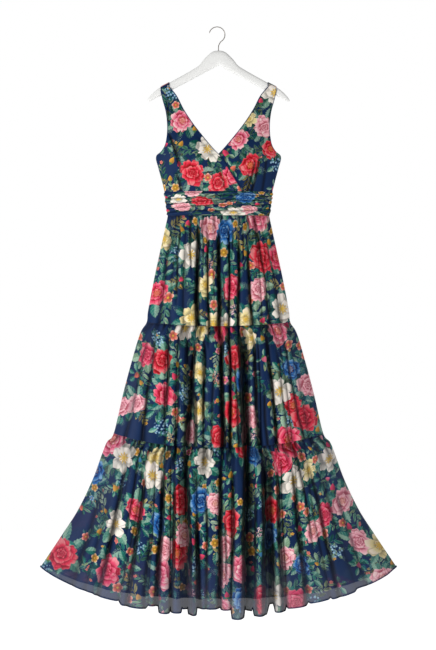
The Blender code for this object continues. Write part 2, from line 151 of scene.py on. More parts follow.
TIER2_FRONT_FOLDS = (
    (-1.00, -1.00, 1.0, 2.0), (-0.93, -0.88, 2.0, 5.0), (-0.82, -0.71, 3.0, 9.0),
    (-0.66, -0.50, 5.0, 12.0), (-0.51, -0.405, 4.0, 10.0), (-0.42, -0.31, -6.0, -9.0),
    (-0.32, -0.235, 7.0, 15.0), (-0.19, -0.145, 5.0, 12.0), (0.037, 0.04, 5.0, 10.0),
    (0.15, 0.115, 8.0, 18.0), (0.29, 0.232, -9.0, -18.0), (0.37, 0.30, 6.0, 14.0),
    (0.50, 0.40, 5.0, 12.0), (0.62, 0.54, 5.0, 11.0), (0.76, 0.70, 3.0, 8.0),
    (0.88, 0.86, 1.0, 3.0), (1.00, 1.00, 0.0, 0.0),
)
TIER2_BACK_FOLDS = (
    (-1.00, -1.00, 1.0, 2.0), (-0.80, -0.82, 3.0, 7.0), (-0.61, -0.62, 4.0, 11.0),
    (-0.42, -0.42, 4.0, 10.0), (-0.25, -0.24, 5.0, 14.0), (-0.06, -0.06, 4.0, 11.0),
    (0.12, 0.12, 5.0, 13.0), (0.31, 0.30, 4.0, 10.0), (0.49, 0.50, 4.0, 12.0),
    (0.68, 0.70, 3.0, 7.0), (0.84, 0.85, 1.0, 3.0), (1.00, 1.00, 0.0, 0.0),
)
TIER3_FRONT_FOLDS = (
    (-1.00, -1.00, 1.0, 2.0), (-0.86, -0.84, 3.0, 5.0), (-0.76, -0.70, 3.0, 8.0),
    (-0.66, -0.553, 5.0, 15.0), (-0.56, -0.388, 3.0, 5.0), (-0.507, -0.332, 8.0, 20.0),
    (-0.43, -0.268, 7.0, 18.0), (-0.356, -0.203, -6.0, -8.0), (-0.295, -0.169, 8.0, 24.0),
    (-0.20, -0.121, 5.0, 9.0), (0.007, 0.012, 5.0, 13.0), (0.123, 0.070, 9.0, 27.0),
    (0.253, 0.145, -8.0, -12.0), (0.322, 0.191, 8.0, 24.0), (0.435, 0.276, -10.0, -16.0),
    (0.486, 0.310, 8.0, 20.0), (0.56, 0.374, 5.0, 12.0), (0.68, 0.499, 4.0, 10.0),
    (0.78, 0.62, 4.0, 8.0), (0.88, 0.77, 2.0, 4.0), (1.00, 1.00, 0.0, 0.0),
)
TIER3_BACK_FOLDS = (
    (-1.00, -1.00, 1.0, 2.0), (-0.82, -0.80, 3.0, 7.0), (-0.64, -0.60, 5.0, 13.0),
    (-0.47, -0.42, 7.0, 19.0), (-0.30, -0.25, 8.0, 22.0), (-0.13, -0.10, 7.0, 18.0),
    (0.05, 0.05, 8.0, 23.0), (0.22, 0.20, 7.0, 18.0), (0.39, 0.37, 7.0, 20.0),
    (0.56, 0.55, 5.0, 12.0), (0.74, 0.74, 3.0, 6.0), (0.88, 0.88, 1.0, 3.0),
    (1.00, 1.00, 0.0, 0.0),
)
# how far each of the lowest tier's front folds droops at the hem
TIER3_FRONT_DROPS = (
    0, 0, 2, 10, 1, 16, 13, 5, 18, 2, 4, 27, 10, 21, -5, 14, 8, 3, 6, 3,
)
PLAN_POWER = 2.4    # plan section of the skirt, between an ellipse and a box
skirt_width, skirt_front, skirt_back = curves_of(SKIRT)
print("skirt's half width under the waist and at the hem:", skirt_width(-528.0),
      skirt_width(-1508.0))

# %% [markdown]
# ## The sharp creases
# On top of the broad folds lie the narrow valleys that show as dark lines. They could come from a
# simulation, but listed one by one they stay where the dress has them: each is one row with its
# place at the tier's top and bottom, where it begins and ends down the tier, its depth and its
# reach.

# %% Creases listed one by one
# x at the tier's top and bottom, start and end share down the tier, depth, reach
TIER1_FRONT_CREASES = (
    (-57, -59, 0.04, 2.0, 15, 5.5), (2, 1, 0.10, 2.0, 14, 5.5), (55, 55, 0.20, 2.0, 9, 4.5),
    (76, 92, 0.25, 2.0, 8, 4.5), (-105, -121, 0.02, 0.9, 6, 4.0), (-79, -70, 0.0, 0.62, 6, 4.0),
    (-45, -40, 0.0, 0.55, 5, 3.5), (-31, -27, 0.1, 2.0, 6, 4.0), (-15, -12, 0.2, 0.95, 4, 3.5),
    (29, 29, 0.05, 2.0, 6, 4.0), (40, 41, 0.0, 0.5, 5, 3.5), (68, 69, 0.0, 0.62, 5, 3.5),
    (104, 143, 0.05, 2.0, 6, 5.0), (123, 174, 0.12, 2.0, 5, 5.0), (-124, -165, 0.05, 2.0, 5, 5.0),
    (-92, -92, 0.3, 0.85, 3, 5.0), (15, 14, 0.45, 2.0, 4, 4.0), (90, 118, 0.0, 0.4, 4, 3.5),
)
TIER1_BACK_CREASES = (
    (-60, -72, 0.05, 2.0, 10, 5.0), (4, 8, 0.1, 2.0, 12, 5.5), (58, 76, 0.15, 2.0, 9, 5.0),
    (-100, -128, 0.1, 2.0, 6, 5.0), (96, 134, 0.05, 2.0, 6, 5.0), (-30, -34, 0.0, 0.7, 5, 4.0),
    (31, 36, 0.0, 0.6, 5, 4.0), (-82, -100, 0.0, 0.5, 4, 4.0), (80, 100, 0.2, 0.9, 4, 4.0),
)
TIER2_FRONT_CREASES = (
    (-59, -90, 0.10, 2.0, 16, 6.0), (8, 12, 0.02, 2.0, 17, 6.0), (56, 77, 0.02, 2.0, 22, 7.5),
    (-134, -150, 0.05, 0.85, 9, 5.0), (-66, -64, 0.5, 2.0, 11, 5.5), (30, 34, 0.0, 2.0, 9, 5.0),
    (94, 112, 0.05, 2.0, 10, 6.0), (129, 163, 0.02, 2.0, 8, 5.0), (-170, -212, 0.05, 2.0, 6, 5.0),
    (-104, -118, 0.2, 2.0, 6, 5.0), (-38, -42, 0.05, 0.9, 7, 5.0), (-14, -18, 0.3, 2.0, 5, 4.5),
    (170, 236, 0.03, 2.0, 6, 5.5), (-186, -258, 0.05, 2.0, 5, 5.5), (46, 54, 0.2, 2.0, 6, 4.5),
    (150, 196, 0.15, 2.0, 5, 5.0), (-84, -96, 0.0, 0.45, 6, 4.0), (112, 136, 0.45, 2.0, 6, 5.0),
)
TIER2_BACK_CREASES = (
    (-78, -100, 0.05, 2.0, 12, 6.0), (6, 2, 0.05, 2.0, 14, 6.0), (84, 104, 0.1, 2.0, 12, 6.0),
    (-140, -176, 0.05, 2.0, 8, 6.0), (140, 182, 0.1, 2.0, 8, 6.0), (-36, -48, 0.1, 0.9, 7, 5.0),
    (44, 54, 0.0, 0.8, 7, 5.0), (-172, -236, 0.1, 2.0, 5, 6.0), (172, 238, 0.2, 2.0, 5, 6.0),
    (-110, -136, 0.3, 2.0, 5, 5.0), (112, 144, 0.0, 0.7, 6, 5.0),
)
TIER3_FRONT_CREASES = (
    (-90, -78, 0.0, 2.0, 20, 7.0), (9, 2, 0.05, 2.0, 15, 6.0), (77, 71, 0.0, 2.0, 24, 7.0),
    (124, 131, 0.0, 2.0, 22, 7.5), (-146, -170, 0.1, 2.0, 15, 6.5),
    (-116, -130, 0.15, 2.0, 10, 6.0),
    (-62, -54, 0.4, 2.0, 12, 6.0), (158, 178, 0.1, 2.0, 12, 6.5), (196, 240, 0.1, 2.0, 8, 6.0),
    (-190, -250, 0.15, 2.0, 10, 7.0), (-236, -332, 0.1, 2.0, 8, 7.0), (232, 334, 0.15, 2.0, 8, 7.0),
    (270, 410, 0.3, 2.0, 5, 8.0), (-268, -405, 0.25, 2.0, 5, 8.0), (-34, -32, 0.2, 2.0, 7, 5.0),
    (42, 38, 0.1, 0.9, 8, 5.0), (100, 103, 0.25, 2.0, 7, 5.0), (-210, -286, 0.0, 0.7, 6, 5.0),
    (212, 284, 0.0, 0.8, 6, 5.0), (142, 152, 0.45, 2.0, 7, 5.5), (-164, -205, 0.5, 2.0, 6, 6.0),
    (250, 372, 0.1, 0.75, 4, 6.0), (-252, -368, 0.35, 2.0, 4, 7.0), (20, 22, 0.35, 0.95, 6, 5.0),
)
TIER3_BACK_CREASES = (
    (-100, -118, 0.0, 2.0, 18, 8.0), (2, 10, 0.05, 2.0, 20, 8.0), (98, 116, 0.0, 2.0, 18, 8.0),
    (-160, -214, 0.1, 2.0, 12, 8.0), (164, 220, 0.1, 2.0, 12, 8.0), (-50, -56, 0.1, 2.0, 12, 7.0),
    (52, 62, 0.2, 2.0, 12, 7.0), (-220, -320, 0.1, 2.0, 8, 8.0), (222, 330, 0.1, 2.0, 8, 8.0),
    (-262, -400, 0.3, 2.0, 5, 8.0), (262, 402, 0.2, 2.0, 5, 8.0),
)
print("creases on the front tiers:", len(TIER1_FRONT_CREASES), len(TIER2_FRONT_CREASES),
      len(TIER3_FRONT_CREASES))

# %% [markdown]
# ## Short gathers under a seam
# Where a wide piece is sewn to a narrow one, the extra cloth stands in many small ridges that run
# out within a hand's width. They could be one repeated wave, but real gathers differ, so each has
# its own place, depth, reach and length from a seeded list.

# %% Uneven gathers
def gathers(seed, count, depth, length):
    """Rows of place across -1 to 1, depth, reach and run for one seam."""
    dice = np.random.default_rng(seed)
    place = np.linspace(-0.975, 0.975, count) + dice.uniform(-0.75, 0.75, count) / count
    return np.stack([place, depth * dice.uniform(0.3, 1.0, count), dice.uniform(3.0, 5.2, count),
                     length * dice.uniform(0.3, 1.5, count)], axis=1)


def gathered(x, below, half_width, rows):
    """How far the gathers pull the cloth in, at x and a distance below their seam."""
    total = np.zeros_like(x)
    for place, depth, reach, run in rows:
        spread = reach * (1.0 + 0.9 * np.clip(below / run, 0.0, 1.6))
        off = (x - place * half_width) / spread
        fade = np.exp(-(below / run) ** 1.6) * smooth(below / 4.0 + 0.3)
        total += depth * np.exp(-off * off) * fade
    return total


def creased(x, share, rows):
    """How far the listed creases pull the cloth in, and how much cloth is tucked away in them up to
    x."""
    total, tucked = np.zeros_like(x), np.zeros_like(x)
    for top, bottom, start, end, depth, reach in rows:
        wander = 1.6 * np.sin(7.0 * share + top) + 0.8 * np.sin(17.0 * share + bottom)
        off = (x - mix(top, bottom, share) - wander) / (reach * (0.75 + 0.35 * share))
        amount = smooth((share - start) / 0.22 + 0.15) * smooth((end - share) / 0.25)
        total += depth * amount * np.exp(-np.abs(off) ** 1.7)
        held = 1.0 if end > 1.5 and start < 0.3 else amount
        tucked += 1.2 * depth * held * (smooth(off / 1.6 + 0.5) - (1.0 if bottom < 0.0 else 0.0))
    return total, tucked


# %% The surface of one tier
def plan_y(share, depth, power):
    """Depth of a plan section between an ellipse and a box, at a share of its half width."""
    return depth * np.sqrt(np.maximum(1.0 - np.abs(share) ** power, 0.0))


def level_z(level, share, side):
    front_middle, back_middle, at_side, power = LEVELS[level]
    middle = front_middle if side < 0 else back_middle
    return mix(middle, at_side, np.minimum(np.abs(share), 1.0) ** power)


SEAM_RISE = {(0, -1): lambda x: 0.0 * x, (0, 1): lambda x: 0.0 * x}


def tier_surface(level, folds, creases, sewn, side, place, share, drops=None):
    """x, y, z, rise, hollow and tucked cloth of a tier's points. place counts folds from the left,
    with a fraction for where in its fold a point is, and share is how far down the tier it is."""
    rows = np.asarray(folds, dtype=float)
    fold = np.minimum(place.astype(int), len(rows) - 2)
    run = place - fold
    take_over = smooth(share / 0.22)
    settle = smooth((1.0 - share) / 0.12) if level < 3 else np.ones_like(share)
    inner = (fold > 0) & (fold < len(rows) - 2)
    round_here = np.where(inner, 0.35, 0.0) * take_over * settle
    at = run - round_here / (2.0 * np.pi) * np.sin(2.0 * np.pi * run)
    across = mix(mix(rows[fold, 0], rows[fold + 1, 0], at),
                 mix(rows[fold, 1], rows[fold + 1, 1], at),
                 share)
    crown = np.where(inner, np.abs(np.sin(np.pi * run)) ** 0.9,
                     0.5 - 0.5 * np.cos(2.0 * np.pi * run))
    side_z = mix(LEVELS[level - 1][2], LEVELS[level][2], share)
    half_width = skirt_width(side_z)
    depth = skirt_front(side_z) if side < 0 else skirt_back(side_z)
    z = mix(level_z(level - 1, across, side), level_z(level, across, side), share)
    x = across * half_width
    below = level_z(level - 1, across, side) - z
    inside = smooth((1.0 - np.abs(across)) / 0.06)
    crease, tucked = creased(x, share, creases)
    crease = crease * inside
    gather = gathered(x, below, half_width, sewn) * inside
    own = mix(rows[fold, 2], rows[fold, 3], share) * crown - crease
    puff = (4.0 if level > 1 else 1.5) * smooth(below / 7.0) * np.exp(-below / 45.0)
    rise = mix(SEAM_RISE[level - 1, side](x), own, take_over) + puff * inside
    rise = rise - gather
    # painted shade: darkens the colour in the folds' valleys, along creases and gathers, and just
    # under the seam
    dark = np.where(rows[fold, 3] > 0.0, (1.0 - crown) ** 2, 0.35 + 0.65 * crown)
    painted_shade = (0.3 + 0.65 * smooth(np.abs(rows[fold, 3]) / 13.0)) * take_over * dark * inside
    for amount in (0.97 * smooth(crease / 7.0), 0.85 * smooth(gather / 6.0),
                   0.75 * np.exp(-below / 3.0)):
        painted_shade = 1.0 - (1.0 - painted_shade) * (1.0 - amount)
    y = plan_y(across, depth, PLAN_POWER) + rise
    if drops is not None:
        z = z - np.asarray(drops, dtype=float)[fold] * smooth(crown * 1.9) * share * share
    return x, side * np.maximum(y, 0.15), z, rise, painted_shade, tucked


def even_places(count, level, folds, creases, sewn, side):
    """Column places spread evenly along the cloth, so steep fold walls get as many as flat ones."""
    fine = np.linspace(0.0, len(folds) - 1.0, 5000)
    total = np.zeros(len(fine))
    for share in (0.06, 0.3, 0.6, 0.95):
        x, y = tier_surface(level, folds, creases, sewn, side, fine, np.full_like(fine, share))[:2]
        total[1:] += np.cumsum(np.hypot(np.diff(x), np.diff(y)))
    return np.interp(np.linspace(0.0, total[-1], count), total, fine)


# %% [markdown]
# ## From rows to a sheet of cloth
# Every cloth piece starts as Blender's grid and has its points moved into place. It carries two
# maps: one for baking, and the cloth's own flat coordinates in metres, which the print follows.
# That map measures along the cloth sideways, so motifs run into the folds without being stretched.

# %% Sheets and their maps
PIECES = {}


def finish_mesh(name, bm):
    mesh = bpy.data.meshes.new(name)
    bm.to_mesh(mesh)
    bm.free()
    mesh.polygons.foreach_set("use_smooth", np.ones(len(mesh.polygons), dtype=bool))
    mesh.update()
    ob = bpy.data.objects.new(name, mesh)
    scene.collection.objects.link(ob)
    return ob


def run_of(x, y):
    """How far along its row each point is, in millimetres from the middle of the dress."""
    step = np.hypot(np.diff(x, axis=1), np.diff(y, axis=1))
    run = np.concatenate([np.zeros((len(x), 1)), np.cumsum(step, axis=1)], axis=1)
    zero = [np.interp(0.0, x[r], run[r]) if x[r, 0] < 0.0 < x[r, -1] else run[r, 0] - x[r, 0]
            for r in range(len(x))]
    return run - np.array(zero)[:, None]


def grid_sheet(name, x, y, z, side, values, flat_x=None, stretch=(1.0, 1.0)):
    """A sheet from arrays in millimetres, rows from the top down and columns from the left."""
    rows, columns = x.shape
    bm = bmesh.new()
    bmesh.ops.create_grid(bm, x_segments=columns - 1, y_segments=rows - 1, size=1.0)
    ob = finish_mesh(name + "_cloth", bm)
    mesh = ob.data
    points = np.stack([x, y, z], axis=-1).reshape(-1, 3) * MM
    mesh.vertices.foreach_set("co", points.ravel())
    mesh.update()
    if sum(p.normal.y * p.area for p in mesh.polygons) * side < 0.0:
        mesh.flip_normals()
    corner = np.empty(len(mesh.loops), dtype=np.int32)
    mesh.loops.foreach_get("vertex_index", corner)
    flat_x = run_of(x, y) if flat_x is None else flat_x
    flat = np.stack([flat_x * stretch[0], z * stretch[1]], axis=-1).reshape(-1, 2)
    even = np.meshgrid(np.linspace(0.004, 0.996, columns), np.linspace(0.996, 0.004, rows))
    for title, uv in (("OFBake", np.stack(even, axis=-1).reshape(-1, 2)), ("cloth", flat * MM)):
        layer = mesh.uv_layers.new(name=title)
        layer.data.foreach_set("uv", uv[corner].astype(np.float32).ravel())
    for title, numbers in values.items():
        layer = mesh.attributes.new(title, "FLOAT", "POINT")
        layer.data.foreach_set("value", np.broadcast_to(numbers,
                                                        x.shape).astype(np.float32).ravel())
    PIECES[name] = ob
    return ob


def rolled(x, y, z, radius=1.5, steps=6):
    """Adds rows that roll the lowest edge out and round, as a narrow rolled hem."""
    step_x, step_y = np.gradient(x[-1]), np.gradient(y[-1])
    size = np.maximum(np.hypot(step_x, step_y), 1e-6)
    out_x, out_y = step_y / size, -step_x / size
    if np.sum(out_y * y[-1]) < 0.0:
        out_x, out_y = -out_x, -out_y
    rows = [(x, y, z)]
    for index in range(1, steps + 1):
        turn = 1.7 * np.pi * index / steps
        out, down = radius * (1.0 - math.cos(turn)), radius * math.sin(turn)
        rows.append(((x[-1] + out_x * out)[None], (y[-1] + out_y * out)[None],
                     (z[-1] - down)[None]))
    return tuple(np.concatenate([row[axis] for row in rows]) for axis in range(3))


# %% [markdown]
# ## The skirt
# Three gathered tiers, each a front and a back, get wider towards the floor. The lowest one hangs
# in round tubes in the middle, fans out flat at the sides, and ends in a rolled hem. The cloth
# is thinner to see through at the sides, where the skirt has only its outer layer.

# %% Build the six tier panels
TIERS = (
    # name, level, folds, creases, side, columns, rows, gathers' seed, count, depth and length
    ("tier1_front", 1, TIER1_FRONT_FOLDS, TIER1_FRONT_CREASES, -1, 260, 96, (11, 25, 6.0, 80.0)),
    ("tier1_back", 1, TIER1_BACK_FOLDS, TIER1_BACK_CREASES, 1, 190, 64, (12, 24, 6.0, 80.0)),
    ("tier2_front", 2, TIER2_FRONT_FOLDS, TIER2_FRONT_CREASES, -1, 420, 100, (21, 34, 8.0, 56.0)),
    ("tier2_back", 2, TIER2_BACK_FOLDS, TIER2_BACK_CREASES, 1, 260, 66, (22, 32, 8.0, 56.0)),
    ("tier3_front", 3, TIER3_FRONT_FOLDS, TIER3_FRONT_CREASES, -1, 560, 130, (31, 48, 8.5, 60.0)),
    ("tier3_back", 3, TIER3_BACK_FOLDS, TIER3_BACK_CREASES, 1, 380, 90, (32, 44, 8.5, 60.0)),
)
THIN_AT_SIDE, THIN_BELOW = (0.0, 0.1, 0.5, 0.75), -1440.0    # by level; height where the hem thins
for name, level, folds, creases, side, columns, rows, dice in TIERS:
    drops = TIER3_FRONT_DROPS if name == "tier3_front" else None
    sewn = gathers(*dice)
    place = even_places(columns, level, folds, creases, sewn, side)
    grid_place, grid_share = np.meshgrid(place, np.linspace(0.0, 1.0, rows) ** 1.2)
    x, y, z, rise, painted_shade, tucked = tier_surface(level, folds, creases, sewn, side, grid_place,
                                                 grid_share, drops)
    plain = tier_surface(level, folds, creases, (), side, grid_place, grid_share)
    flat_x = run_of(plain[0], plain[1])
    flat_x = mix(flat_x, flat_x[rows // 2][None, :], 0.5)
    if side < 0:
        flat_x = mix(flat_x, plain[0], 0.6) + tucked
    SEAM_RISE[level, side] = lambda at, xs=x[-1].copy(), up=rise[-1].copy(): np.interp(at, xs, up)
    hem = np.zeros(rows)
    if level == 3:
        x, y, z = rolled(x, y, z)
        hem = np.concatenate([hem, np.ones(len(x) - rows)])
        flat_x, painted_shade = (np.concatenate([a, np.repeat(a[-1:], len(x) - rows, axis=0)])
                          for a in (flat_x, painted_shade))
        hem[rows - 1] = 1.0
    spread = np.abs(x) / skirt_width(z)
    thin = THIN_AT_SIDE[level] * smooth((spread - 0.62) / 0.3)
    if level == 3:
        thin = np.maximum(thin, smooth((THIN_BELOW - z) / 130.0)) if side < 0 else 0.0 * thin
    ob = grid_sheet(name, x, y, z, side, {"edge": hem[:, None], "thin": thin, "painted_shade": painted_shade},
                    flat_x)
    print(name, len(ob.data.polygons), "faces")

# %% [markdown]
# ## The bodice
# Two fronts cross over at the middle and one back closes behind. Their edges are short tables: the
# armhole and side seam on the outside, the neckline and lap on the inside. The straps go over the
# hanger's arms. A soft bust and a few pleats that run into the waist shape the fronts.

# %% Bodice sizes
# x, top z, bottom z, half thickness of the hanger body, one side
HANGER = (
    (0.0, -65.0, -106.0, 9.0), (10.0, -65.8, -111.3, 9.0),
    (20.0, -70.0, -116.6, 8.8), (30.0, -78.5, -122.0, 8.5),
    (43.0, -92.0, -128.9, 8.0), (55.0, -107.0, -135.2, 7.4),
    (75.0, -120.0, -145.9, 6.8), (105.0, -137.0, -161.8, 6.5),
    (134.0, -153.0, -177.0, 6.5), (162.0, -167.5, -191.0, 6.5),
    (178.0, -179.0, -199.0, 6.2), (190.0, -191.0, -205.5, 5.4),
    (197.0, -199.5, -208.0, 3.4), (199.0, -202.5, -206.0, 1.6),
)
# outer x and z, inner x and z, from the arm down to the waist
FRONT_EDGES = (
    (157.0, -202.0, 117.5, -192.0), (147.0, -240.0, 97.0, -232.0),
    (143.0, -284.0, 69.5, -275.0), (147.5, -326.0, 36.5, -318.0),
    (159.0, -348.0, 15.5, -343.0), (175.0, -363.0, -7.5, -368.0),
    (168.0, -395.0, -24.5, -395.0), (158.5, -430.0, -46.5, -430.0),
    (151.0, -461.0, -66.0, -461.0),
)
BACK_EDGES = (
    (157.0, -202.0, 118.5, -192.0), (147.0, -240.0, 98.5, -232.0),
    (143.0, -284.0, 71.5, -275.0), (147.5, -326.0, 39.5, -318.0),
    (159.0, -348.0, 19.5, -343.0), (175.0, -363.0, 0.0, -367.0),
    (168.0, -395.0, 0.0, -395.0), (158.5, -430.0, 0.0, -430.0),
    (151.0, -461.0, 0.0, -461.0),
)
# z, half width at the side, front depth, back depth of the bodice
BODICE = (
    (-150.0, 180.0, 9.0, 9.0), (-190.0, 180.0, 13.0, 11.0),
    (-240.0, 179.0, 24.0, 17.0), (-285.0, 178.0, 35.0, 22.0),
    (-326.0, 176.5, 45.0, 27.0), (-363.0, 175.0, 49.0, 30.0),
    (-395.0, 168.0, 47.0, 31.0), (-430.0, 158.5, 42.0, 31.0),
    (-461.0, 151.0, 38.0, 30.0),
)
STRAP_Y, STRAP_Z = 9.0, 14.5       # strap's outer face from the middle of the arm
BUST_X, BUST_Z, BUST_R, BUST_RISE = 88.0, -335.0, 52.0, 9.0
EDGE_WIDTH, EDGE_FADE = 2.6, 1.2   # plain turned edge at the neck and armhole
ARMHOLE_FOOT = -363.0              # where the armhole meets the side seam
# top x and z, bottom x and z, depth (below 0 stands out), reach of each soft pleat
LEFT_PLEATS = (
    (-143, -285, -108, -392, 5.0, 4.0), (-121, -400, -104, -461, 3.5, 5.0),
    (-148, -195, -140, -262, 3.0, 2.4), (-10, -384, 6, -461, -3.6, 5.0),
    (-24, -380, -16, -461, -2.6, 4.0), (-2, -378, 16, -450, 2.6, 2.8),
    (-60, -412, -46, -461, 1.6, 5.0), (-66, -300, -30, -352, 1.4, 6.0),
)
RIGHT_PLEATS = (
    (116, -352, 92, -461, 5.0, 4.0), (104, -362, 80, -461, 4.4, 3.6),
    (134, -338, 122, -461, 2.6, 5.0),
    (148, -200, 140, -268, 2.4, 2.6), (66, -330, 44, -420, 1.6, 6.0),
    (90, -392, 66, -461, 2.4, 3.2),
)
arm_top, arm_bottom, arm_half = curves_of(HANGER)
bodice_width, bodice_front, bodice_back = curves_of(BODICE)


def pleat_depth(pleats, x, z):
    total = np.zeros_like(x)
    for top_x, top_z, end_x, end_z, depth, reach in pleats:
        run = (z - top_z) / (end_z - top_z)
        bow = 2.5 * np.sin(np.pi * np.clip(run, 0.0, 1.0))
        off = (x - mix(top_x, end_x, run) - bow) / reach
        total += depth * smooth(run * 3.0) * smooth((1.12 - run) * 5.0) * np.exp(-off * off)
    return total


def lap_lift(x, z):
    """The left front lies over the right one, so it stands a cloth's thickness out."""
    return -2.2 * smooth((x + 118.0) / 44.0) * smooth((-z - 300.0) / 50.0)


def bodice_surface(edges, side, hand, columns, rows, angles, pleats=(), lift=None):
    """One side of the bodice: first round the hanger's arm, then down to the waist."""
    across = (np.linspace(0.0, 1.0, columns) ** 1.25)[None, :]
    turn = np.radians(angles)[:, None]
    strap_x = hand * mix(162.0, 138.0, across) + 0.0 * turn
    strap_y = side * STRAP_Y * np.sin(turn) + 0.0 * strap_x
    middle = 0.5 * (arm_top(np.abs(strap_x)) + arm_bottom(np.abs(strap_x)))
    strap_z = middle + STRAP_Z * np.cos(turn)
    arm_end = (162.0, middle[0, 0], 138.0, middle[0, -1])
    table = through_rows((arm_end,) + edges, np.linspace(0.0, len(edges), rows)[1:])
    x = hand * mix(table[:, :1], table[:, 2:3], across)
    z = mix(table[:, 1:2], table[:, 3:4], across)
    half_width = bodice_width(z)
    y = plan_y(np.minimum(np.abs(x / half_width), 1.0),
               bodice_front(z) if side < 0 else bodice_back(z),
               2.0)
    if side < 0:
        off = ((np.abs(x) - BUST_X) / BUST_R) ** 2 + ((z - BUST_Z) / BUST_R) ** 2
        inside = smooth((half_width - np.abs(x)) / 30.0)
        y = y + BUST_RISE * np.exp(-off) * inside
    off_strap = smooth((-z - 165.0) / 55.0)
    y = mix(STRAP_Y, np.maximum(y, 0.15), off_strap)
    pleat = pleat_depth(pleats, x, z) * smooth(y / 12.0)
    y = side * (y - pleat)
    if lift is not None:
        y = y + lift(x, z)
    # painted shade in the pleats' valleys
    painted_shade = 0.85 * smooth(pleat / 3.5)
    return tuple(np.concatenate([a, b]) for a, b in ((strap_x, x), (strap_y, y), (strap_z, z),
                                                     (0.0 * strap_x, painted_shade)))


def turned_edge(x, y, z, painted_shade, steps=4, radius=0.9):
    """Turns the inner edge in behind the cloth, as a stitched neckline is."""
    out_x, out_z = x[:, -1] - x[:, -2], z[:, -1] - z[:, -2]
    size = np.maximum(np.hypot(out_x, out_z), 1e-6)
    behind = -np.sign(np.mean(y))
    columns = [(x, y, z, painted_shade)]
    for index in range(1, steps + 1):
        turn = np.pi * index / steps
        out, back = radius * math.sin(turn), radius * (1.0 - math.cos(turn))
        columns.append(((x[:, -1] + out * out_x / size)[:, None],
                        (y[:, -1] + behind * back)[:, None],
                        (z[:, -1] + out * out_z / size)[:, None], painted_shade[:, -1:]))
    return tuple(np.concatenate([c[axis] for c in columns], axis=1) for axis in range(4))


# %% Build the bodice pieces
BODICE_PARTS = (
    ("bodice_front_left", FRONT_EDGES, -1, -1, 100, 120, np.linspace(38.0, 90.0, 8), LEFT_PLEATS,
     lap_lift),
    ("bodice_front_right", FRONT_EDGES, -1, 1, 100, 120, np.linspace(38.0, 90.0, 8), RIGHT_PLEATS,
     None),
    ("bodice_back_left", BACK_EDGES, 1, -1, 60, 90, np.linspace(-35.0, 90.0, 16), (), None),
    ("bodice_back_right", BACK_EDGES, 1, 1, 60, 90, np.linspace(-35.0, 90.0, 16), (), None),
)
for name, edges, side, hand, columns, rows, angles, pleats, lift in BODICE_PARTS:
    x, y, z, painted_shade = bodice_surface(edges, side, hand, columns, rows, angles, pleats, lift)
    if side < 0:
        x, y, z, painted_shade = turned_edge(x, y, z, painted_shade)
    reach_in = np.hypot(x - x[:, -1:], z - z[:, -1:])
    reach_out = np.hypot(x - x[:, :1], z - z[:, :1])
    edge = smooth((EDGE_WIDTH - reach_in) / EDGE_FADE)
    if side < 0:
        above = z[:, :1] > ARMHOLE_FOOT
        edge = np.maximum(edge, smooth((EDGE_WIDTH - reach_out) / EDGE_FADE) * above)
    if side > 0:
        edge[np.abs(x) < 1.0] = 0.0
    if hand > 0:
        x, y, z, edge, painted_shade = (a[:, ::-1] for a in (x, y, z, edge, painted_shade))
    grid_sheet(name, x, y, z, side, {"edge": edge, "thin": 0.0, "painted_shade": painted_shade})
print("bodice pieces:", [n for n in PIECES if n.startswith("bodice")])

# %% [markdown]
# ## The waistband
# The band is ruched: soft level pleats that sag a little off the middle. Its cloth is pulled
# sideways, so the print on it is drawn out wide.

# %% Build the waistband
BAND_TOP, BAND_FOOT, BAND_PLEATS = -461.15, -527.85, 5


def band_surface(side, columns=200, rows=90):
    angle, share = np.meshgrid(np.linspace(-0.5, 0.5, columns) * np.pi, np.linspace(0.0, 1.0, rows))
    half_width = mix(151.0, 142.0, share)
    depth = mix(38.0, 36.0, share) if side < 0 else 30.0 + 0.0 * share
    sag = 0.09 * np.sin(angle) * np.sin(np.pi * share) + 0.035 * np.sin(3.1 * angle + 4.0 * share)
    wave = np.abs(np.sin(np.pi * BAND_PLEATS * (share + sag))) ** 0.75
    fine = 0.5 * np.sin(24.0 * (share + sag) + 2.0 * np.sin(2.0 * angle))
    fade = smooth(share * 14.0) * smooth((1.0 - share) * 14.0)
    rise = (3.0 * wave + fine) * fade * smooth(np.cos(angle) * 8.0) + 0.5
    x = (half_width + rise) * np.sin(angle)
    y = side * np.maximum((depth + rise) * np.cos(angle), 0.15)
    # the last value is painted shade in the ruching's valleys
    return x, y, mix(BAND_TOP, BAND_FOOT, share), 0.85 * (1.0 - wave) ** 2 * fade


for name, side in (("waistband_front", -1), ("waistband_back", 1)):
    x, y, z, painted_shade = band_surface(side)
    grid_sheet(name, x, y, z, side, {"edge": 0.0, "thin": 0.0, "painted_shade": painted_shade},
               stretch=(0.55, 1.2))
print("waistband pieces:", [n for n in PIECES if n.startswith("waist")])

# %% [markdown]
# ## The hanger
# A flat moulded hanger with a wire hook. Both are tubes: a grid rolled up round a middle line and
# closed by merging its long edge. The arms narrow to rounded tips.

# %% Build the hanger body and the hook
def tube(name, x, y, z):
    rows, columns = x.shape
    bm = bmesh.new()
    bmesh.ops.create_grid(bm, x_segments=columns - 1, y_segments=rows - 1, size=1.0)
    for vert, point in zip(bm.verts, np.stack([x, y, z], axis=-1).reshape(-1, 3) * MM):
        vert.co = point
    bmesh.ops.remove_doubles(bm, verts=bm.verts[:], dist=0.00002)
    bmesh.ops.holes_fill(bm, edges=[e for e in bm.edges if e.is_boundary])
    bmesh.ops.recalc_face_normals(bm, faces=bm.faces[:])
    return finish_mesh(name, bm)


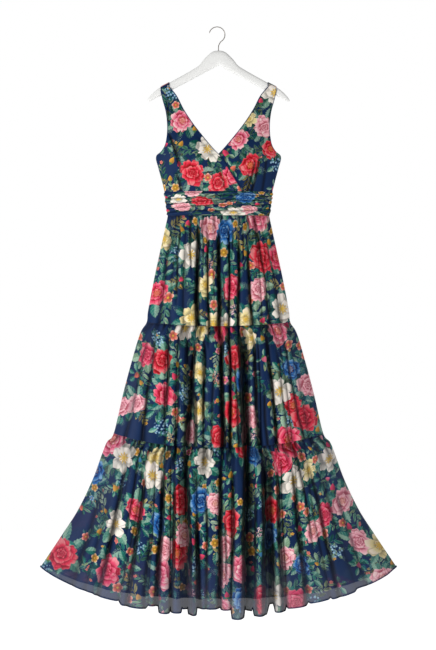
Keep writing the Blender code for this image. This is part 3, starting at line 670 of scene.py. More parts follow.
HANGER_REACH, TIP_ROUND = 199.0, 3.0
along_x = HANGER_REACH * np.sin(np.linspace(-0.5, 0.5, 161) * np.pi)[:, None]
turn = np.linspace(0.0, 2.0 * np.pi, 33)[None, :]
top, bottom, half = arm_top(np.abs(along_x)), arm_bottom(np.abs(along_x)), arm_half(np.abs(along_x))
close = np.sqrt(np.clip((HANGER_REACH + 1.2 - np.abs(along_x)) / TIP_ROUND, 0.0, 1.0))
body = tube("hanger_body_smooth", along_x + 0.0 * turn,
            half * close * np.sign(np.sin(turn)) * np.abs(np.sin(turn)) ** 0.55,
            0.5 * (top + bottom) + 0.5 * (top - bottom) * close * np.sign(np.cos(turn))
            * np.abs(np.cos(turn)) ** 0.75)
print("hanger body:", len(body.data.polygons), "faces")

HOOK_WIRE_R, HOOK_R, HOOK_CENTRE_X = 1.25, 22.0, -4.0
swing = np.radians(np.linspace(168.0, -62.0, 60))
path = np.stack([HOOK_CENTRE_X + HOOK_R * np.cos(swing), -(HOOK_R - 1.6) + HOOK_R * np.sin(swing)],
                axis=1)
neck = np.linspace(0.0, 1.0, 24)[1:, None]
neck_x = path[-1, 0] * np.maximum(1.0 - neck, 0.0) ** 1.6
neck_z = mix(path[-1, 1], -54.0, neck)
stem = np.array([[0.0, -60.0], [0.0, -68.0], [0.0, -76.0]])
path = np.concatenate([path, np.concatenate([neck_x, neck_z], axis=1), stem])
path = through_rows(path[::3], np.linspace(0.0, len(path[::3]) - 1.0, 120))
heading = np.gradient(path, axis=0)
heading /= np.linalg.norm(heading, axis=1)[:, None]
round_wire = np.linspace(0.0, 2.0 * np.pi, 17)[None, :]
radius = HOOK_WIRE_R * np.sqrt(np.clip((np.arange(120) + 0.3) / 3.0, 0.0, 1.0))[:, None]
hook = tube("hanger_hook_smooth", path[:, :1] + radius * heading[:, 1:] * np.cos(round_wire),
            radius * np.sin(round_wire) + 0.0 * path[:, :1],
            path[:, 1:] - radius * heading[:, :1] * np.cos(round_wire))
print("hook:", len(hook.data.polygons), "faces")

# %% [markdown]
# ## Drawing the print
# The printed chiffon has peonies, open blossoms, sprays of small flowers and leaves on navy. An
# image could be laid over the cloth, but shader nodes stay sharp at any distance and can be
# recoloured. Each motif is drawn once, in its own small coordinates: the middle of a flower is at
# 0, 0 and its outline is at a distance of 1. Every face of the cloth then stores which motif it
# carries and where it lies in it.

# %% A short hand for shader nodes
class Ink:
    """Adds nodes to a tree and hands back their output sockets."""

    def __init__(self, tree):
        self.tree = tree

    def node(self, kind, inputs=(), **settings):
        made = self.tree.nodes.new(kind)
        for title, value in settings.items():
            setattr(made, title, value)
        for key, value in dict(inputs).items():
            if isinstance(value, bpy.types.NodeSocket):
                self.tree.links.new(value, made.inputs[key])
            else:
                made.inputs[key].default_value = value
        return made

    def math(self, operation, *values, clamp=False):
        return self.node("ShaderNodeMath", enumerate(values), operation=operation,
                         use_clamp=clamp).outputs[0]

    def add(self, a, b):
        return self.math("ADD", a, b)

    def sub(self, a, b):
        return self.math("SUBTRACT", a, b)

    def mul(self, a, b):
        return self.math("MULTIPLY", a, b)

    def step(self, value, low, high):
        """0 below low and 1 above high, smoothly; the other way round where low is the larger."""
        return self.node("ShaderNodeMapRange", {"Value": value, "From Min": low, "From Max": high},
                         interpolation_type="SMOOTHSTEP").outputs[0]

    def blend(self, share, a, b):
        def full(colour):
            return colour if isinstance(colour, bpy.types.NodeSocket) else (*colour, 1.0)
        return self.node("ShaderNodeMix", {0: share, 6: full(a), 7: full(b)},
                         data_type="RGBA").outputs[2]

    def scale(self, colour, share):
        return self.node("ShaderNodeVectorMath", {0: colour, "Scale": share},
                         operation="SCALE").outputs[0]

    def attribute(self, title):
        return self.node("ShaderNodeAttribute", attribute_name=title).outputs["Vector"]

    def parts(self, vector):
        return tuple(self.node("ShaderNodeSeparateXYZ", {0: vector}).outputs)

    def vector(self, x, y, z=0.0):
        return self.node("ShaderNodeCombineXYZ", {0: x, 1: y, 2: z}).outputs[0]

    def chance(self, x, y, z=0.0):
        """A steady random number for a place."""
        return self.node("ShaderNodeTexWhiteNoise", {"Vector": self.vector(x, y, z)},
                         noise_dimensions="3D").outputs["Value"]

    def noise(self, vector, scale, detail):
        return self.node("ShaderNodeTexNoise",
                         {"Vector": vector, "Scale": scale, "Detail": detail}).outputs["Fac"]

    def bump(self, height, strength, distance):
        return self.node("ShaderNodeBump",
                         {"Strength": strength, "Distance": distance, "Height": height}).outputs[0]

    def polar(self, u, v):
        size = self.math("SQRT", self.add(self.mul(u, u), self.mul(v, v)))
        return size, self.math("ARCTAN2", v, u)


def colour(red, green, blue):
    """A colour of 0 to 255 as the eye reads it, in the numbers that light is worked out with."""
    return tuple((c / 255.0 / 12.92) if c <= 10 else ((c / 255.0 + 0.055) / 1.055) ** 2.4
                 for c in (red, green, blue))


print("navy in light's numbers:", [round(v, 4) for v in colour(14, 42, 83)])

# %% The outline of a flower, and its petals
def flower_outline(ink, at):
    """1 inside a flower, and how far in from its edge a point is. The kind is 0 for a full
    peony and 1 for an open blossom."""
    u, v, code = ink.parts(at)
    seed, open_one = ink.math("FRACT", code), ink.math("GREATER_THAN", code, 1.0)
    r, turn = ink.polar(u, v)
    petals = ink.sub(8.0, ink.mul(2.0, open_one))
    dip = ink.math("ABSOLUTE", ink.math("SINE", ink.add(ink.mul(turn, ink.mul(petals, 0.5)),
                                                        ink.mul(seed, 9.0))))
    dip = ink.sub(1.0, ink.math("POWER", dip, 0.5))
    wobble = ink.add(ink.mul(0.09, ink.math("SINE",
                                            ink.add(ink.mul(turn, 2.0), ink.mul(seed, 40.0)))),
                     ink.mul(0.06, ink.math("SINE",
                                            ink.add(ink.mul(turn, 3.0), ink.mul(seed, 90.0)))))
    ruffle = ink.mul(0.035, ink.math("SINE", ink.add(ink.mul(turn, 15.0), ink.mul(seed, 70.0))))
    depth = ink.add(0.20, ink.mul(0.22, open_one))
    edge = ink.add(ink.sub(0.95, ink.mul(dip, depth)), ink.add(wobble, ruffle))
    inside = ink.sub(edge, r)
    return ink.step(inside, 0.0, 0.05), inside


def flower_petals(ink, at, hue, inside):
    """Rings of overlapping petals, each dark where it comes out from under the next."""
    u, v, code = ink.parts(at)
    seed, open_one = ink.math("FRACT", code), ink.math("GREATER_THAN", code, 1.0)
    r, turn = ink.polar(u, v)
    twist = ink.add(turn, ink.mul(r, ink.mul(0.9, ink.sub(seed, 0.5))))
    round_size = ink.sub(1.45, ink.mul(0.55, open_one))
    out_size = ink.sub(1.75, ink.mul(0.75, open_one))
    height = ink.mul(ink.math("LOGARITHM", ink.add(r, 0.08), math.e), out_size)
    place = ink.vector(ink.add(ink.mul(ink.math("COSINE", twist), round_size), ink.mul(seed, 31.0)),
                       ink.mul(ink.math("SINE", twist), round_size), height)
    cell = ink.node("ShaderNodeTexVoronoi", {"Vector": place, "Scale": 1.0, "Randomness": 0.85})
    gap = ink.node("ShaderNodeTexVoronoi", {"Vector": place, "Scale": 1.0, "Randomness": 0.85},
                   feature="DISTANCE_TO_EDGE").outputs["Distance"]
    cell_z = ink.parts(cell.outputs["Position"])[2]
    chance = ink.parts(cell.outputs["Color"])[0]
    out = ink.step(ink.sub(height, cell_z), -0.62, 0.55)
    streak = ink.noise(ink.vector(ink.mul(twist, 5.0), ink.mul(r, 1.6), seed), 2.2, 1.0)
    tone = ink.add(ink.mul(out, 0.62), ink.add(ink.mul(chance, 0.26), ink.mul(streak, 0.30)))
    tone = ink.add(ink.sub(tone, 0.10), ink.mul(ink.step(r, 0.2, 1.0), 0.12))
    deep = ink.scale(ink.node("ShaderNodeVectorMath", {0: hue, 1: hue},
                              operation="MULTIPLY").outputs[0], 0.52)
    deep = ink.blend(open_one, deep, ink.scale(hue, 0.42))
    red, green, blue = ink.parts(hue)
    bluish = ink.math("GREATER_THAN", blue, ink.mul(red, 1.6))
    glow = ink.blend(bluish, colour(255, 238, 230), colour(176, 220, 240))
    pale = ink.blend(ink.add(0.24, ink.mul(0.42, ink.step(green, 0.02, 0.2))), hue, glow)
    shade = ink.blend(ink.step(tone, 0.19, 0.56), deep, hue)
    shade = ink.blend(ink.step(tone, 0.56, 1.0), shade, pale)
    shade = ink.blend(ink.mul(ink.step(gap, 0.075, 0.0), 0.55), shade, deep)
    shade = ink.blend(ink.mul(ink.step(inside, 0.12, 0.0), 0.35), shade, pale)
    eye = ink.step(ink.add(r, ink.mul(0.12, ink.math("SINE", ink.mul(turn, 9.0)))), 0.30, 0.17)
    golden = ink.mul(0.55, ink.step(seed, 0.5, 0.55))
    eye_hue = ink.blend(open_one, ink.blend(golden, deep, colour(232, 176, 70)),
                        colour(222, 182, 66))
    shade = ink.blend(ink.mul(eye, ink.add(0.45, ink.mul(0.5, open_one))), shade, eye_hue)
    dots = ink.step(ink.math("SINE", ink.mul(turn, 13.0)), 0.3, 0.9)
    ring = ink.mul(ink.mul(ink.step(r, 0.14, 0.2), ink.step(r, 0.30, 0.24)), dots)
    return ink.blend(ink.mul(ring, ink.mul(open_one, 0.7)), shade, colour(150, 100, 30))


# %% Leaves that fan out behind a flower
def leaf_fan(ink, at, hue):
    u, v, code = ink.parts(at)
    seed = ink.math("FRACT", code)
    r, turn = ink.polar(u, v)
    count = ink.math("FLOOR", code)
    part = ink.mul(ink.add(ink.mul(turn, 0.5 / math.pi), 0.5), count)
    leaf = ink.math("FLOOR", part)
    luck, length_luck, tone_luck = (ink.chance(leaf, ink.mul(seed, 91.0), k) for k in (0.5, 7.5,
                                                                                       3.5))
    lean = ink.mul(ink.sub(luck, 0.5), 0.55)
    off = ink.mul(ink.math("DIVIDE", ink.add(ink.sub(ink.sub(part, leaf), 0.5), ink.mul(lean, 0.3)),
                           count),
                  2.0 * math.pi)
    along = ink.mul(r, ink.math("COSINE", off))
    aside = ink.add(ink.mul(r, ink.math("SINE", off)),
                    ink.mul(lean, ink.mul(along, ink.mul(along, 0.35))))
    length = ink.add(0.62, ink.mul(length_luck, 0.38))
    share = ink.math("DIVIDE", ink.sub(along, 0.22), ink.sub(length, 0.22), clamp=True)
    belly = ink.math("SINE", ink.mul(ink.math("POWER", share, 1.15), math.pi))
    width = ink.mul(ink.math("POWER", belly, 0.8), ink.add(0.14, ink.mul(tone_luck, 0.07)))
    teeth = ink.mul(0.012, ink.math("SINE", ink.mul(along, 60.0)))
    inside = ink.sub(ink.add(width, teeth), ink.math("ABSOLUTE", aside))
    mask = ink.mul(ink.step(inside, 0.0, 0.02), ink.step(width, 0.0, 0.03))
    vein = ink.math("SINE", ink.add(ink.mul(along, 46.0),
                                    ink.mul(ink.math("ABSOLUTE", aside), -40.0)))
    rib = ink.step(ink.math("ABSOLUTE", aside), 0.016, 0.004)
    tone = ink.add(ink.mul(length_luck, 0.62), ink.mul(ink.step(aside, -0.01, 0.02), 0.36))
    tone = ink.add(ink.add(tone, ink.mul(vein, 0.07)), ink.mul(share, 0.22))
    shade = ink.blend(ink.step(tone, 0.15, 0.75), ink.scale(hue, 0.20), hue)
    shade = ink.blend(ink.step(tone, 0.64, 1.05), shade,
                      ink.blend(0.55, hue, colour(188, 218, 192)))
    shade = ink.blend(ink.mul(rib, 0.5), shade, ink.blend(0.5, hue, colour(184, 216, 190)))
    return mask, ink.blend(ink.mul(ink.step(inside, 0.035, 0.0), 0.8), shade, ink.scale(hue, 0.14))


# %% A spray of leaves along a stem
def leaf_spray(ink, at, hue):
    """A stem from 0 to 1 with pairs of slim leaves and a bud at its tip."""
    along, aside, code = ink.parts(at)
    seed, count = ink.math("FRACT", code), ink.math("FLOOR", code)
    bend = ink.mul(ink.sub(seed, 0.5), ink.mul(0.5, ink.math("SINE", ink.mul(along, math.pi))))
    aside = ink.sub(aside, bend)
    away = ink.math("ABSOLUTE", aside)
    side = ink.mul(0.5, ink.math("GREATER_THAN", aside, 0.0))
    run = ink.sub(ink.add(ink.mul(along, count), side), ink.mul(away, ink.mul(count, 0.85)))
    leaf = ink.math("FLOOR", run)
    luck = ink.chance(leaf, ink.mul(seed, 57.0), side)
    reach = ink.mul(ink.sub(0.33, ink.mul(0.17, ink.math("DIVIDE", leaf, count))),
                    ink.add(0.7, ink.mul(luck, 0.35)))
    share = ink.math("DIVIDE", away, reach, clamp=True)
    width = ink.mul(0.40, ink.math("POWER", ink.math("SINE", ink.mul(share, math.pi)), 0.8))
    middle = ink.math("ABSOLUTE", ink.sub(ink.sub(run, leaf), 0.5))
    on_stem = ink.mul(ink.step(leaf, -0.5, -0.4), ink.step(ink.sub(count, leaf), 0.4, 0.6))
    leaves = ink.mul(ink.step(ink.sub(width, middle), 0.0, 0.06), on_stem)
    stem = ink.mul(ink.step(away, 0.016, 0.008),
                   ink.mul(ink.step(along, -0.02, 0.0), ink.step(along, 0.97, 0.95)))
    tone = ink.add(luck, ink.mul(ink.step(middle, 0.0, 0.2), 0.4))
    shade = ink.blend(ink.step(tone, 0.3, 1.1), ink.scale(hue, 0.25), hue)
    shade = ink.blend(ink.mul(ink.step(tone, 1.0, 1.4), 0.35), shade, colour(226, 214, 160))
    bud_r, bud_turn = ink.polar(ink.sub(along, 0.98), aside)
    bud = ink.step(ink.add(bud_r, ink.mul(0.012, ink.math("SINE", ink.mul(bud_turn, 5.0)))), 0.085,
                   0.070)
    bud_hue = ink.blend(ink.math("GREATER_THAN", ink.math("FRACT", ink.mul(seed, 7.0)), 0.5),
                        colour(222, 120, 110), colour(214, 160, 70))
    bud_hue = ink.blend(ink.step(bud_r, 0.0, 0.08), ink.scale(bud_hue, 0.6), bud_hue)
    mask = ink.math("MAXIMUM", ink.math("MAXIMUM", leaves, stem), bud)
    return mask, ink.blend(bud, shade, bud_hue)


# %% Small blossoms, clusters of tiny blue ones, and buds
def small_bloom(ink, at, hue):
    """Kind 2 is a single blossom, kind 3 a cluster, kind 4 a bud."""
    u, v, code = ink.parts(at)
    seed, kind = ink.math("FRACT", code), ink.math("FLOOR", code)
    r, turn = ink.polar(u, v)
    lobes = ink.math("ABSOLUTE", ink.math("COSINE",
                                          ink.add(ink.mul(turn, 2.5), ink.mul(seed, 9.0))))
    single = ink.step(ink.sub(ink.add(0.56, ink.mul(0.40, ink.math("POWER", lobes, 0.6))), r), 0.0,
                      0.07)
    single_hue = ink.blend(ink.step(ink.add(r, ink.mul(lobes, 0.25)), 0.35, 1.0),
                           ink.scale(hue, 0.5), hue)
    single_hue = ink.blend(ink.mul(ink.step(r, 0.55, 0.95), 0.6), single_hue, colour(246, 222, 214))
    single_hue = ink.blend(ink.step(r, 0.24, 0.12), single_hue, colour(220, 176, 60))
    spot = ink.vector(ink.add(ink.mul(u, 2.6), ink.mul(seed, 60.0)), ink.mul(v, 2.6))
    cell = ink.node("ShaderNodeTexVoronoi", {"Vector": spot, "Scale": 1.0, "Randomness": 0.8},
                    voronoi_dimensions="2D")
    away = ink.node("ShaderNodeVectorMath", {0: spot, 1: cell.outputs["Position"]},
                    operation="SUBTRACT").outputs[0]
    away_u, away_v, _ = ink.parts(away)
    tiny_r, tiny_turn = ink.polar(away_u, away_v)
    tiny_lobes = ink.math("ABSOLUTE", ink.math("COSINE", ink.mul(tiny_turn, 2.5)))
    luck, luck2, _ = ink.parts(cell.outputs["Color"])
    tiny = ink.step(ink.sub(ink.add(0.24, ink.mul(0.20, tiny_lobes)), tiny_r), 0.0, 0.06)
    tiny = ink.mul(tiny, ink.mul(ink.step(r, 1.0, 0.9), ink.step(luck, 0.22, 0.25)))
    tiny_hue = ink.blend(luck2, ink.scale(hue, 0.55), ink.blend(0.5, hue, colour(190, 225, 240)))
    tiny_hue = ink.blend(ink.step(tiny_r, 0.12, 0.06), tiny_hue, colour(235, 225, 170))
    bud_width = ink.mul(0.62, ink.math("SINE",
                                       ink.mul(ink.math("MULTIPLY_ADD", u, 0.5, 0.5, clamp=True),
                                               math.pi)))
    bud = ink.step(ink.sub(bud_width, ink.math("ABSOLUTE", v)), 0.0, 0.08)
    bud_hue = ink.blend(ink.step(ink.add(v, ink.mul(u, 0.3)), -0.4, 0.5), ink.scale(hue, 0.5), hue)
    bud_hue = ink.blend(ink.step(u, -0.25, -0.45), bud_hue, colour(70, 120, 70))
    is_cluster = ink.math("GREATER_THAN", kind, 2.5)
    is_bud = ink.math("GREATER_THAN", kind, 3.5)
    mask = ink.node("ShaderNodeMix", {0: is_cluster, 2: single, 3: tiny}).outputs[0]
    mask = ink.node("ShaderNodeMix", {0: is_bud, 2: mask, 3: bud}).outputs[0]
    return mask, ink.blend(is_bud, ink.blend(is_cluster, single_hue, tiny_hue), bud_hue)


# %% The whole print as one node group
NAVY, NAVY_DEEP = colour(14, 42, 83), colour(8, 28, 59)


def print_group():
    tree = bpy.data.node_groups.new("floral print", "ShaderNodeTree")
    tree.interface.new_socket("Colour", in_out="OUTPUT", socket_type="NodeSocketColor")
    tree.interface.new_socket("Painted", in_out="OUTPUT", socket_type="NodeSocketFloat")
    ink = Ink(tree)
    cloth = ink.node("ShaderNodeUVMap", uv_map="cloth").outputs[0]
    cloud = ink.noise(cloth, 14.0, 2.0)
    shade = ink.blend(ink.mul(cloud, 0.5), NAVY, NAVY_DEEP)
    painted = None
    layers = [leaf_spray(ink, ink.attribute("spray"), ink.attribute("spray_hue"))]
    layers += [leaf_fan(ink, ink.attribute(t), ink.attribute(t + "_hue")) for t in ("fan_low",
                                                                                    "fan_high")]
    layers += [small_bloom(ink, ink.attribute("small"), ink.attribute("small_hue"))]
    low, high = ink.attribute("bloom_low"), ink.attribute("bloom_high")
    low_mask, low_inside = flower_outline(ink, low)
    high_mask, high_inside = flower_outline(ink, high)
    pick = ink.math("GREATER_THAN", high_mask, 0.5)
    at = ink.blend(pick, low, high)
    hue = ink.blend(pick, ink.attribute("bloom_low_hue"), ink.attribute("bloom_high_hue"))
    inside = ink.node("ShaderNodeMix", {0: pick, 2: low_inside, 3: high_inside}).outputs[0]
    layers += [(ink.math("MAXIMUM", low_mask, high_mask), flower_petals(ink, at, hue, inside))]
    for mask, ink_hue in layers:
        shade = ink.blend(mask, shade, ink_hue)
        painted = mask if painted is None else ink.math("MAXIMUM", painted, mask)
    edge = ink.node("ShaderNodeAttribute", attribute_name="edge").outputs["Fac"]
    shade = ink.blend(ink.mul(edge, 0.9), shade, NAVY)
    # painted shade: the colour is darkened where the sheet marks fold valleys, creases, gathers,
    # pleats and the cloth just under a seam
    painted_shade = ink.node("ShaderNodeAttribute", attribute_name="painted_shade").outputs["Fac"]
    shade = ink.scale(shade, ink.sub(1.0, ink.mul(painted_shade, 0.90)))
    ink.node("NodeGroupOutput", {"Colour": shade, "Painted": painted})
    return tree


PRINT = print_group()
print("nodes in the print:", len(PRINT.nodes))

# %% [markdown]
# ## The chiffon
# Chiffon is a thin crisp weave: nearly matt, with a faint sheen on the crowns of the folds, and it
# lets some light through. One shader serves all the cloth: the print gives its colour, with painted
# shade in the folds, and how thin it looks comes from the sheet, which both lets light through and
# washes the colour paler with painted see-through light.

# %% Chiffon, white plastic and steel
def material(title, settings):
    """A new material, its tree and its shader, with what is the same all over set on the shader."""
    mat = bpy.data.materials.new(title)
    mat.use_nodes = True
    shader = mat.node_tree.nodes["Principled BSDF"]
    for name, value in settings.items():
        shader.inputs[name].default_value = value
    return mat, mat.node_tree, shader


def chiffon(title):
    mat, tree, shader = material(title, {"Specular IOR Level": 0.10, "Sheen Weight": 0.03,
                                         "Sheen Roughness": 0.4})
    ink = Ink(tree)
    art = ink.node("ShaderNodeGroup", node_tree=PRINT)
    cloth = ink.node("ShaderNodeUVMap", uv_map="cloth").outputs[0]
    weave = ink.noise(cloth, 900.0, 1.0)
    crinkle = ink.noise(cloth, 70.0, 2.0)
    bump = ink.bump(ink.add(ink.mul(weave, 0.35), crinkle), 0.22, 0.0012)
    thin = ink.node("ShaderNodeAttribute", attribute_name="thin").outputs["Fac"]
    edge = ink.node("ShaderNodeAttribute", attribute_name="edge").outputs["Fac"]
    # painted see-through light: where the sheet is thin the colour is washed towards a paler navy
    # grey, as if the light behind showed through
    painted_see_through = ink.mul(ink.mul(thin, 0.34), ink.sub(1.0, edge))
    see_through_washed = ink.blend(painted_see_through, art.outputs["Colour"], colour(58, 66, 96))
    toned = ink.scale(see_through_washed, ink.add(0.94, ink.mul(weave, 0.12)))
    tree.links.new(toned, shader.inputs["Base Color"])
    tree.links.new(ink.add(0.46, ink.mul(weave, 0.2)), shader.inputs["Roughness"])
    tree.links.new(bump, shader.inputs["Normal"])
    veil = ink.mul(ink.mul(thin, 0.085), ink.sub(1.0, ink.mul(edge, 0.9)))
    veil = ink.mul(veil, ink.sub(1.0, ink.mul(art.outputs["Painted"], 0.25)))
    tree.links.new(ink.sub(1.0, veil), shader.inputs["Alpha"])
    return mat


def plain(title, hue, roughness, metallic=0.0, bumps=0.0, scale=60.0, specular=0.5):
    """A material of one colour, hardly mottled, for what is moulded or drawn to shape."""
    mat, tree, shader = material(title, {"Metallic": metallic, "Specular IOR Level": specular})
    ink = Ink(tree)
    place = ink.node("ShaderNodeTexCoord").outputs["Object"]
    noise = ink.noise(place, scale, 3.0)
    tree.links.new(ink.blend(noise, colour(*hue), tuple(0.96 * c for c in colour(*hue))),
                   shader.inputs["Base Color"])
    tree.links.new(ink.add(roughness, ink.mul(noise, 0.1)), shader.inputs["Roughness"])
    tree.links.new(ink.bump(noise, bumps, 0.001), shader.inputs["Normal"])
    return mat


CLOTH = {"chiffon": chiffon("chiffon"), "chiffon_sheer": chiffon("chiffon sheer")}
body.data.materials.append(plain("white plastic", (240, 240, 238), 0.55, bumps=0.002, scale=25.0,
                                 specular=0.2))
hook.data.materials.append(plain("steel wire", (160, 153, 146), 0.25, metallic=1.0, bumps=0.05,
                                 scale=400.0))
print("materials:", [m.name for m in bpy.data.materials if m.users])

# %% [markdown]
# ## Placing the motifs
# A printed fabric repeats, but gathers and seams break the repeat up. So each piece is strewn with
# the same kinds of flower from a fixed seed: large blooms that may touch, like a garland, leaves
# and sprays round them, and small blossoms in the gaps.

# %% Colours and kinds
HUES = {title: colour(*seen) for title, seen in (
    ("pink", (240, 120, 148)), ("light", (246, 172, 184)), ("rose", (232, 70, 106)),
    ("red", (222, 44, 66)), ("white", (238, 232, 220)), ("cream", (240, 222, 160)),
    ("blue", (32, 102, 172)), ("sky", (76, 150, 204)), ("coral", (238, 122, 98)),
    ("mustard", (212, 154, 58)),
)}
GREENS = [colour(*seen) for seen in (
    (8, 104, 102), (18, 118, 104), (36, 128, 112), (86, 146, 128), (124, 156, 126), (6, 92, 104),
    (14, 110, 98))]
DRY = [colour(*seen) for seen in (
    (116, 142, 104), (156, 148, 92), (96, 150, 128), (44, 124, 108), (144, 174, 154),
    (26, 112, 106), (76, 144, 122), (20, 108, 104))]
FULL, OPEN, SINGLE, CLUSTER, BUD = 0, 1, 2, 3, 4

# colour, kind and radius in millimetres of the flowers that the print is made of
KINDS = (("pink", FULL, 30), ("red", FULL, 29), ("white", OPEN, 29), ("blue", FULL, 26),
         ("rose", FULL, 28),
         ("cream", OPEN, 24), ("light", FULL, 26), ("coral", SINGLE, 14), ("mustard", SINGLE, 12),
         ("sky", CLUSTER, 20), ("rose", BUD, 12), ("coral", SINGLE, 13), ("mustard", BUD, 11))
# how large the print stands on a piece; the band's cloth is pulled together, so it is small there
PRINT_SIZE = {"tier": 1.12, "bodice": 1.05, "waistband": 0.5}
# how many small blossoms and buds fill the gaps, and how many long sprays are added
FILLERS = {"tier1_front": 8, "tier2_front": 16, "tier3_front": 30, "bodice_front_left": 3,
           "bodice_front_right": 3, "waistband_front": 3}
LONG_SPRAYS = {"tier1_front": 8, "tier2_front": 8, "tier3_front": 18, "bodice_front_left": 2,
               "bodice_front_right": 3}
print("kinds of flower in the print:", len(KINDS))


# %% Storing motifs on the faces
def cloth_of(ob):
    """Each corner's and each face's flat place in millimetres, and each corner's face."""
    mesh = ob.data
    corners, faces = len(mesh.loops), len(mesh.polygons)
    flat = np.empty(corners * 2, dtype=np.float32)
    mesh.uv_layers["cloth"].data.foreach_get("uv", flat)
    flat = flat.reshape(-1, 2) / MM
    first, sides = np.empty(faces, dtype=np.int32), np.empty(faces, dtype=np.int32)
    mesh.polygons.foreach_get("loop_start", first)
    mesh.polygons.foreach_get("loop_total", sides)
    face_flat = np.add.reduceat(flat, first, axis=0) / sides[:, None]
    return flat, face_flat, np.repeat(np.arange(faces), sides)


def store(ob, title, motifs, cloth):
    """Gives each face its nearest motif. A motif is flat x, flat z, size, heading, code, hue."""
    flat, face_flat, face_of = cloth
    local = np.full((len(flat), 3), 9.0, dtype=np.float32)
    hues = np.zeros((len(flat), 3), dtype=np.float32)
    if motifs:
        numbers = np.array([m[:5] for m in motifs])
        tints = np.array([m[5] for m in motifs])
        best, least = np.zeros(len(face_flat), dtype=int), np.full(len(face_flat), np.inf)
        for index, (at_x, at_z, size, heading, _) in enumerate(numbers):
            dx, dz = (face_flat[:, 0] - at_x) / size, (face_flat[:, 1] - at_z) / size
            if title == "spray":
                along = dx * math.cos(heading) + dz * math.sin(heading) - 0.5
                aside = dz * math.cos(heading) - dx * math.sin(heading)
                away = np.hypot(along, 1.5 * aside)
            else:
                away = np.hypot(dx, dz)
            nearer = away < least
            best[nearer], least[nearer] = index, away[nearer]
        chosen = numbers[best[face_of]]
        dx, dz = ((flat - chosen[:, :2]) / chosen[:, 2:3]).T
        cos, sin = np.cos(chosen[:, 3]), np.sin(chosen[:, 3])
        local = np.stack([dx * cos + dz * sin, dz * cos - dx * sin, chosen[:, 4]], axis=1)
        hues = tints[best[face_of]]
    for name, rows in ((title, local), (title + "_hue", hues)):
        layer = ob.data.attributes.new(name, "FLOAT_VECTOR", "CORNER")
        layer.data.foreach_set("vector", np.ascontiguousarray(rows, dtype=np.float32).ravel())


def two_layers(motifs):
    """Shares motifs out so that neighbours which overlap lie in different layers."""
    layers = ([], [])
    for motif in motifs:
        crowd = [sum(max(0.0, 1.0 - math.hypot(motif[0] - m[0],
                                               motif[1] - m[1]) / (motif[2] + m[2]))
                     for m in layer) for layer in layers]
        layers[0 if crowd[0] <= crowd[1] else 1].append(motif)
    return layers


# %% Set the flowers out on every piece
CLOTH_FOR_A_TRY, CLOSEST = 2600.0, 0.82    # square millimetres; share of two radii
DEEPER = 0.6    # how dark the leaves are on the bodice and the band


def one_of(dice, rows):
    return rows[dice.integers(len(rows))]


def scattered(cloth, dice, print_size):
    """Flowers laid out from a seed: they may touch, and leave open cloth between them."""
    face_flat = cloth[1]
    rows = []
    tries = int(np.prod(np.ptp(face_flat, axis=0)) / (CLOTH_FOR_A_TRY * print_size ** 2)) + 12
    for _ in range(tries):
        hue, kind, size = one_of(dice, KINDS)
        at = one_of(dice, face_flat)
        size = size * print_size * dice.uniform(0.85, 1.15)
        if all(math.hypot(at[0] - r[0], at[1] - r[1]) > CLOSEST * (size + r[2]) for r in rows):
            rows.append((at[0], at[1], size, hue, kind))
    return rows


